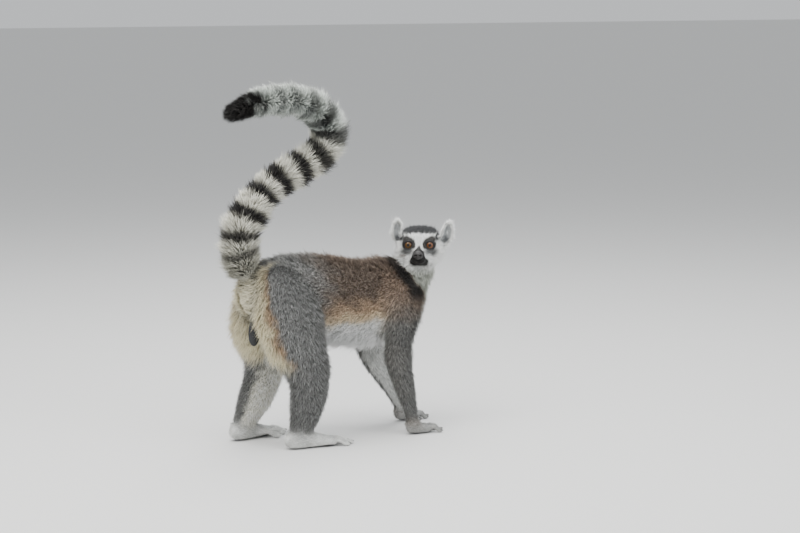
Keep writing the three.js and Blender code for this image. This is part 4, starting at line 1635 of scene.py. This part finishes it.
# %% Tufts from arrays
def tuft_arrays(chosen, rings):
    """Points and colours of the chosen tufts."""
    n = len(chosen)
    foot, up = roots_at[chosen], up_at[chosen]
    lie_here, numbers = lie_at[chosen], coat_at[chosen]
    side = np.cross(lie_here, up)
    length = numbers[:, LENGTH] * np.exp(rng.normal(0, 0.17, n) * loose_at[chosen])
    loose = loose_at[chosen]
    start_angle = np.radians(numbers[:, ROOT] + rng.normal(0, 8, n) * loose)
    end_angle = np.radians(numbers[:, TIP] + rng.normal(0, 8, n) * loose)
    sway = rng.normal(0, 0.20, n) * loose
    points = np.empty((n, 3 * rings + 1, 3))
    colours = np.empty((n, 3 * rings + 1, 3))
    spine = foot - up * 0.5
    step = length / rings
    shade = np.exp(rng.normal(0, 1, n) * speckle_at[chosen])
    thick = numbers[:, THICK] * rng.uniform(0.8, 1.25, n)
    for k in range(rings):
        t = k / rings
        bend = start_angle + (end_angle - start_angle) * (k + 0.5) / rings
        ahead = lie_here * np.cos(bend)[:, None] + up * np.sin(bend)[:, None]
        ahead = unit(ahead + side * (sway * (0.4 + t))[:, None])
        over = np.cross(side, ahead)
        wide = (thick * (1.15 - 0.55 * t**1.5))[:, None]
        for i, (x, y) in enumerate(((1, -0.2), (0, 0.7), (-1, -0.2))):
            points[:, 3 * k + i] = spine + side * wide * x - over * wide * y
        # Painted shade at the root, rising to painted light at the tip.
        colours[:, 3 * k : 3 * k + 3] = (colour_at[chosen] * (shade * (0.62 + 0.5 * t))[:, None])[:, None]
        spine = spine + ahead * step[:, None]
    points[:, -1] = spine
    colours[:, -1] = colour_at[chosen] * (shade * 1.12)[:, None]
    return points, colours


def tuft_faces(rings):
    cap = [[0, 1, 2]]
    sides = []
    for k in range(rings - 1):
        a = 3 * k
        for i in range(3):
            j = (i + 1) % 3
            sides += [[a + i, a + 3 + i, a + 3 + j], [a + i, a + 3 + j, a + j]]
    a, tip = 3 * (rings - 1), 3 * rings
    sides += [[a + i, tip, a + (i + 1) % 3] for i in range(3)]
    return np.array(cap + sides)


PATCH = 0.003


def patch_of(rings):
    """Where each point of a tuft lies on its patch."""
    out = [[PATCH * (i / 2 - 0.5), PATCH * k / rings] for k in range(rings) for i in range(3)]
    return np.array(out + [[0, PATCH]])


def strips(chosen):
    """Lay the parts of one piece as strips, sized by how many tufts each has."""
    found, count = np.unique(part[chosen], return_counts=True)
    size = np.sqrt(count) / np.sqrt(count).sum()
    begin = dict(zip(found, np.concatenate([[0], np.cumsum(size)[:-1]])))
    height = dict(zip(found, size))
    here = np.array([map_at[chosen, 0], map_at[chosen, 1]]).T
    lift = np.array([begin[p] for p in part[chosen]])
    tall = np.array([height[p] for p in part[chosen]])
    return np.stack([0.004 + 0.992 * here[:, 0], lift + tall * (0.03 + 0.94 * here[:, 1])], 1)


def grow(name, chosen, rings=2):
    points, colours = tuft_arrays(chosen, rings)
    n, m = points.shape[:2]
    pattern = tuft_faces(rings)
    sample = points[0] - points[0].mean(0)
    pattern = outward(sample, pattern)
    tris = (pattern[None] + (np.arange(n) * m)[:, None, None]).reshape(-1, 3)
    made = new_piece(name, to_frame(points.reshape(-1, 3)), tris, hair_material)
    colour_layer(made.data, "marking", np.clip(colours.reshape(-1, 3), 0, 0.95))
    spots = np.clip(strips(chosen)[:, None] + patch_of(rings), 0, 1).reshape(-1, 2)
    layer = made.data.uv_layers.new(name="OFBake")
    layer.data.foreach_set("uv", spots[tris.ravel()].astype(np.float32).ravel())
    print(name, n, "tufts", len(tris), "faces")
    return made


def mixed_map():
    """The place of each root on the map. A face that straddles the map's edge takes its first corner."""
    corner = skin_map[roots]
    spread = np.abs(corner - corner[:, :1]).max((1, 2))
    mixed = (corner * share[..., None]).sum(1)
    return np.where((spread > 0.3)[:, None], corner[:, 0], mixed)


HAIR_LIGHT = 1.3
roots_at = at_roots(at)
up_at = unit(at_roots(normal))
lie_at = at_roots(lie)
waves = np.stack([grain(roots_at, size, seed) for size, seed in ((26, 11), (11, 12), (5, 13))], 1)
lie_at += np.cross(up_at, lie_at) * (waves @ [0.16, 0.10, 0.08])[:, None]
lie_at = unit(lie_at - up_at * (lie_at * up_at).sum(1)[:, None])
coat_at = at_roots(coat)
coat_at[:, LENGTH] *= 1 + 0.10 * waves[:, 1] * (coat_at[:, LENGTH] > 7)
colour_at = at_roots(colour) * HAIR_LIGHT
speckle_at = at_roots(speckle)
loose_at = 1 - 0.45 * at_roots(weight[2])
clumps = grain(roots_at, 7, 14) + 0.7 * grain(roots_at, 4, 15)
woolly = 1 - at_roots(np.clip(weight[2] + weight[-1], 0, 1))
coat_at[:, ROOT] += 5 * clumps * woolly
coat_at[:, TIP] += 6 * clumps * woolly
# Painted shade and light: each tuft's colour darkens between clumps and lightens on them.
colour_at *= (1 + 0.08 * clumps * woolly)[:, None]
map_at = mixed_map()
print("mean length of a tuft", coat_at[:, LENGTH].mean().round(1), "mm")

# %% [markdown]
# The coat is cut into pieces by part and side, each of a size that is easy to handle. A tuft belongs to
# the piece where its root is, so no piece has a visible edge.

# %% The coat, piece by piece
hair_material = coloured("hair", "marking", 0.62, specular=0.3)


def parts_named(*starts):
    wanted = [i for i, n in enumerate(part_names) if n.startswith(starts)]
    return np.isin(part, wanted)


def limb_parts(side, *kinds_wanted):
    wanted = [i for i, n in enumerate(names) if side in n and n.startswith(kinds_wanted)]
    return np.isin(part, wanted)


coat_pieces = []
groups = {
    "coat_side_left": parts_named("trunk") & (roots_at[:, 0] > 0),
    "coat_side_right": parts_named("trunk") & (roots_at[:, 0] <= 0),
    "coat_neck": parts_named("neck", "scrotum"),
    "coat_head": parts_named("head") & (at_roots(H)[:, 0] > -22),
    "coat_nape": parts_named("head") & (at_roots(H)[:, 0] <= -22),
}
for side in ("left", "right"):
    groups[f"coat_leg_{side}"] = limb_parts(side, "thigh", "shank")
    groups[f"coat_arm_{side}"] = limb_parts(side, "upper_arm", "forearm")
    groups[f"coat_paws_{side}"] = limb_parts(side, "foot", "hand")
for name, chosen in groups.items():
    coat_pieces.append(grow(name, np.nonzero(chosen)[0]))
run_at = at_roots(along[2])
tail_part = parts_named("tail")
cuts = np.quantile(run_at[tail_part], [0, 1 / 3, 2 / 3, 1])
for n in range(3):
    chosen = tail_part & (run_at >= cuts[n]) & (run_at <= cuts[n + 1] + (n == 2))
    coat_pieces.append(grow(f"coat_tail_{n + 1}", np.nonzero(chosen)[0], rings=3))
print("coat", sum(len(o.data.polygons) for o in coat_pieces), "faces")

# %% [markdown]
# Each piece rides the model's one body. The skin stands for all the solids of flesh, the ears with it.


# %% Tie the pieces to the frame
flesh = [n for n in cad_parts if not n.startswith("eye") and n != "nose"]
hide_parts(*flesh)
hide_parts("nose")
for side, made in zip(("left", "right"), eyes):
    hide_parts(f"eye_{side}")
for made in [skin, nose, nails, *eyes, *lids, *coat_pieces]:
    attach(made, "root")

# %% [markdown]
# The figure stands on a plain pale floor in soft studio light: a broad light high on the left, a weaker
# one on the right and an even pale surround.


# %% Floor and light
floor = new_piece(
    "floor",
    np.array([[-30, -30, 0], [30, -30, 0], [30, 30, 0], [-30, 30, 0]], float),
    np.array([[0, 1, 2], [0, 2, 3]]),
    plain("pale floor", (0.70, 0.70, 0.69), 0.85, bump=0.15, size=700, depth=0.0002, spread=0.02),
)
TARGET = to_frame(place(220.2, -59.3, 262.7))


def toward(azimuth, elevation):
    """The way from the figure to a lamp or camera, from two angles in degrees."""
    a, e = math.radians(azimuth), math.radians(elevation)
    return np.array([math.sin(a) * math.cos(e), -math.cos(a) * math.cos(e), math.sin(e)])


def light(name, azimuth, elevation, distance, size, watts, colour=(1, 1, 1)):
    lamp = bpy.data.lights.new(name, "AREA")
    lamp.shape, lamp.size, lamp.energy, lamp.color = "DISK", size, watts, colour
    made = bpy.data.objects.new(name, lamp)
    way = toward(azimuth, elevation)
    made.location = TARGET + way * distance
    made.rotation_euler = Vector(-way).to_track_quat("-Z", "Y").to_euler()
    bpy.context.scene.collection.objects.link(made)
    return made


light("key", 208, 55, 2.2, 1.8, 58, (1.0, 0.985, 0.96))
light("fill", 285, 22, 2.6, 2.0, 30, (0.95, 0.98, 1.0))
light("back", 60, 60, 2.4, 1.6, 30)
light("top", 237, 84, 2.2, 2.2, 44)
world = bpy.data.worlds.new("surround")
world.use_nodes = True
world.node_tree.nodes["Background"].inputs["Color"].default_value = (0.80, 0.82, 0.84, 1)
world.node_tree.nodes["Background"].inputs["Strength"].default_value = 0.85
bpy.context.scene.world = world
print("lights set")

# %% [markdown]
# The camera stands well back and a little above the figure's eye level, with a long lens.

# %% Camera
AZIMUTH, ELEVATION, DISTANCE = 237, 7, 3.5
camera_data = bpy.data.cameras.new("camera")
camera_data.lens = 103.95
camera_data.sensor_width = 36
camera_data.clip_end = 100
camera = bpy.data.objects.new("camera", camera_data)
way = toward(AZIMUTH, ELEVATION)
camera.location = TARGET + way * DISTANCE
camera.rotation_euler = Vector(-way).to_track_quat("-Z", "Y").to_euler()
bpy.context.scene.collection.objects.link(camera)
bpy.context.scene.camera = camera
print("camera at", camera.location)
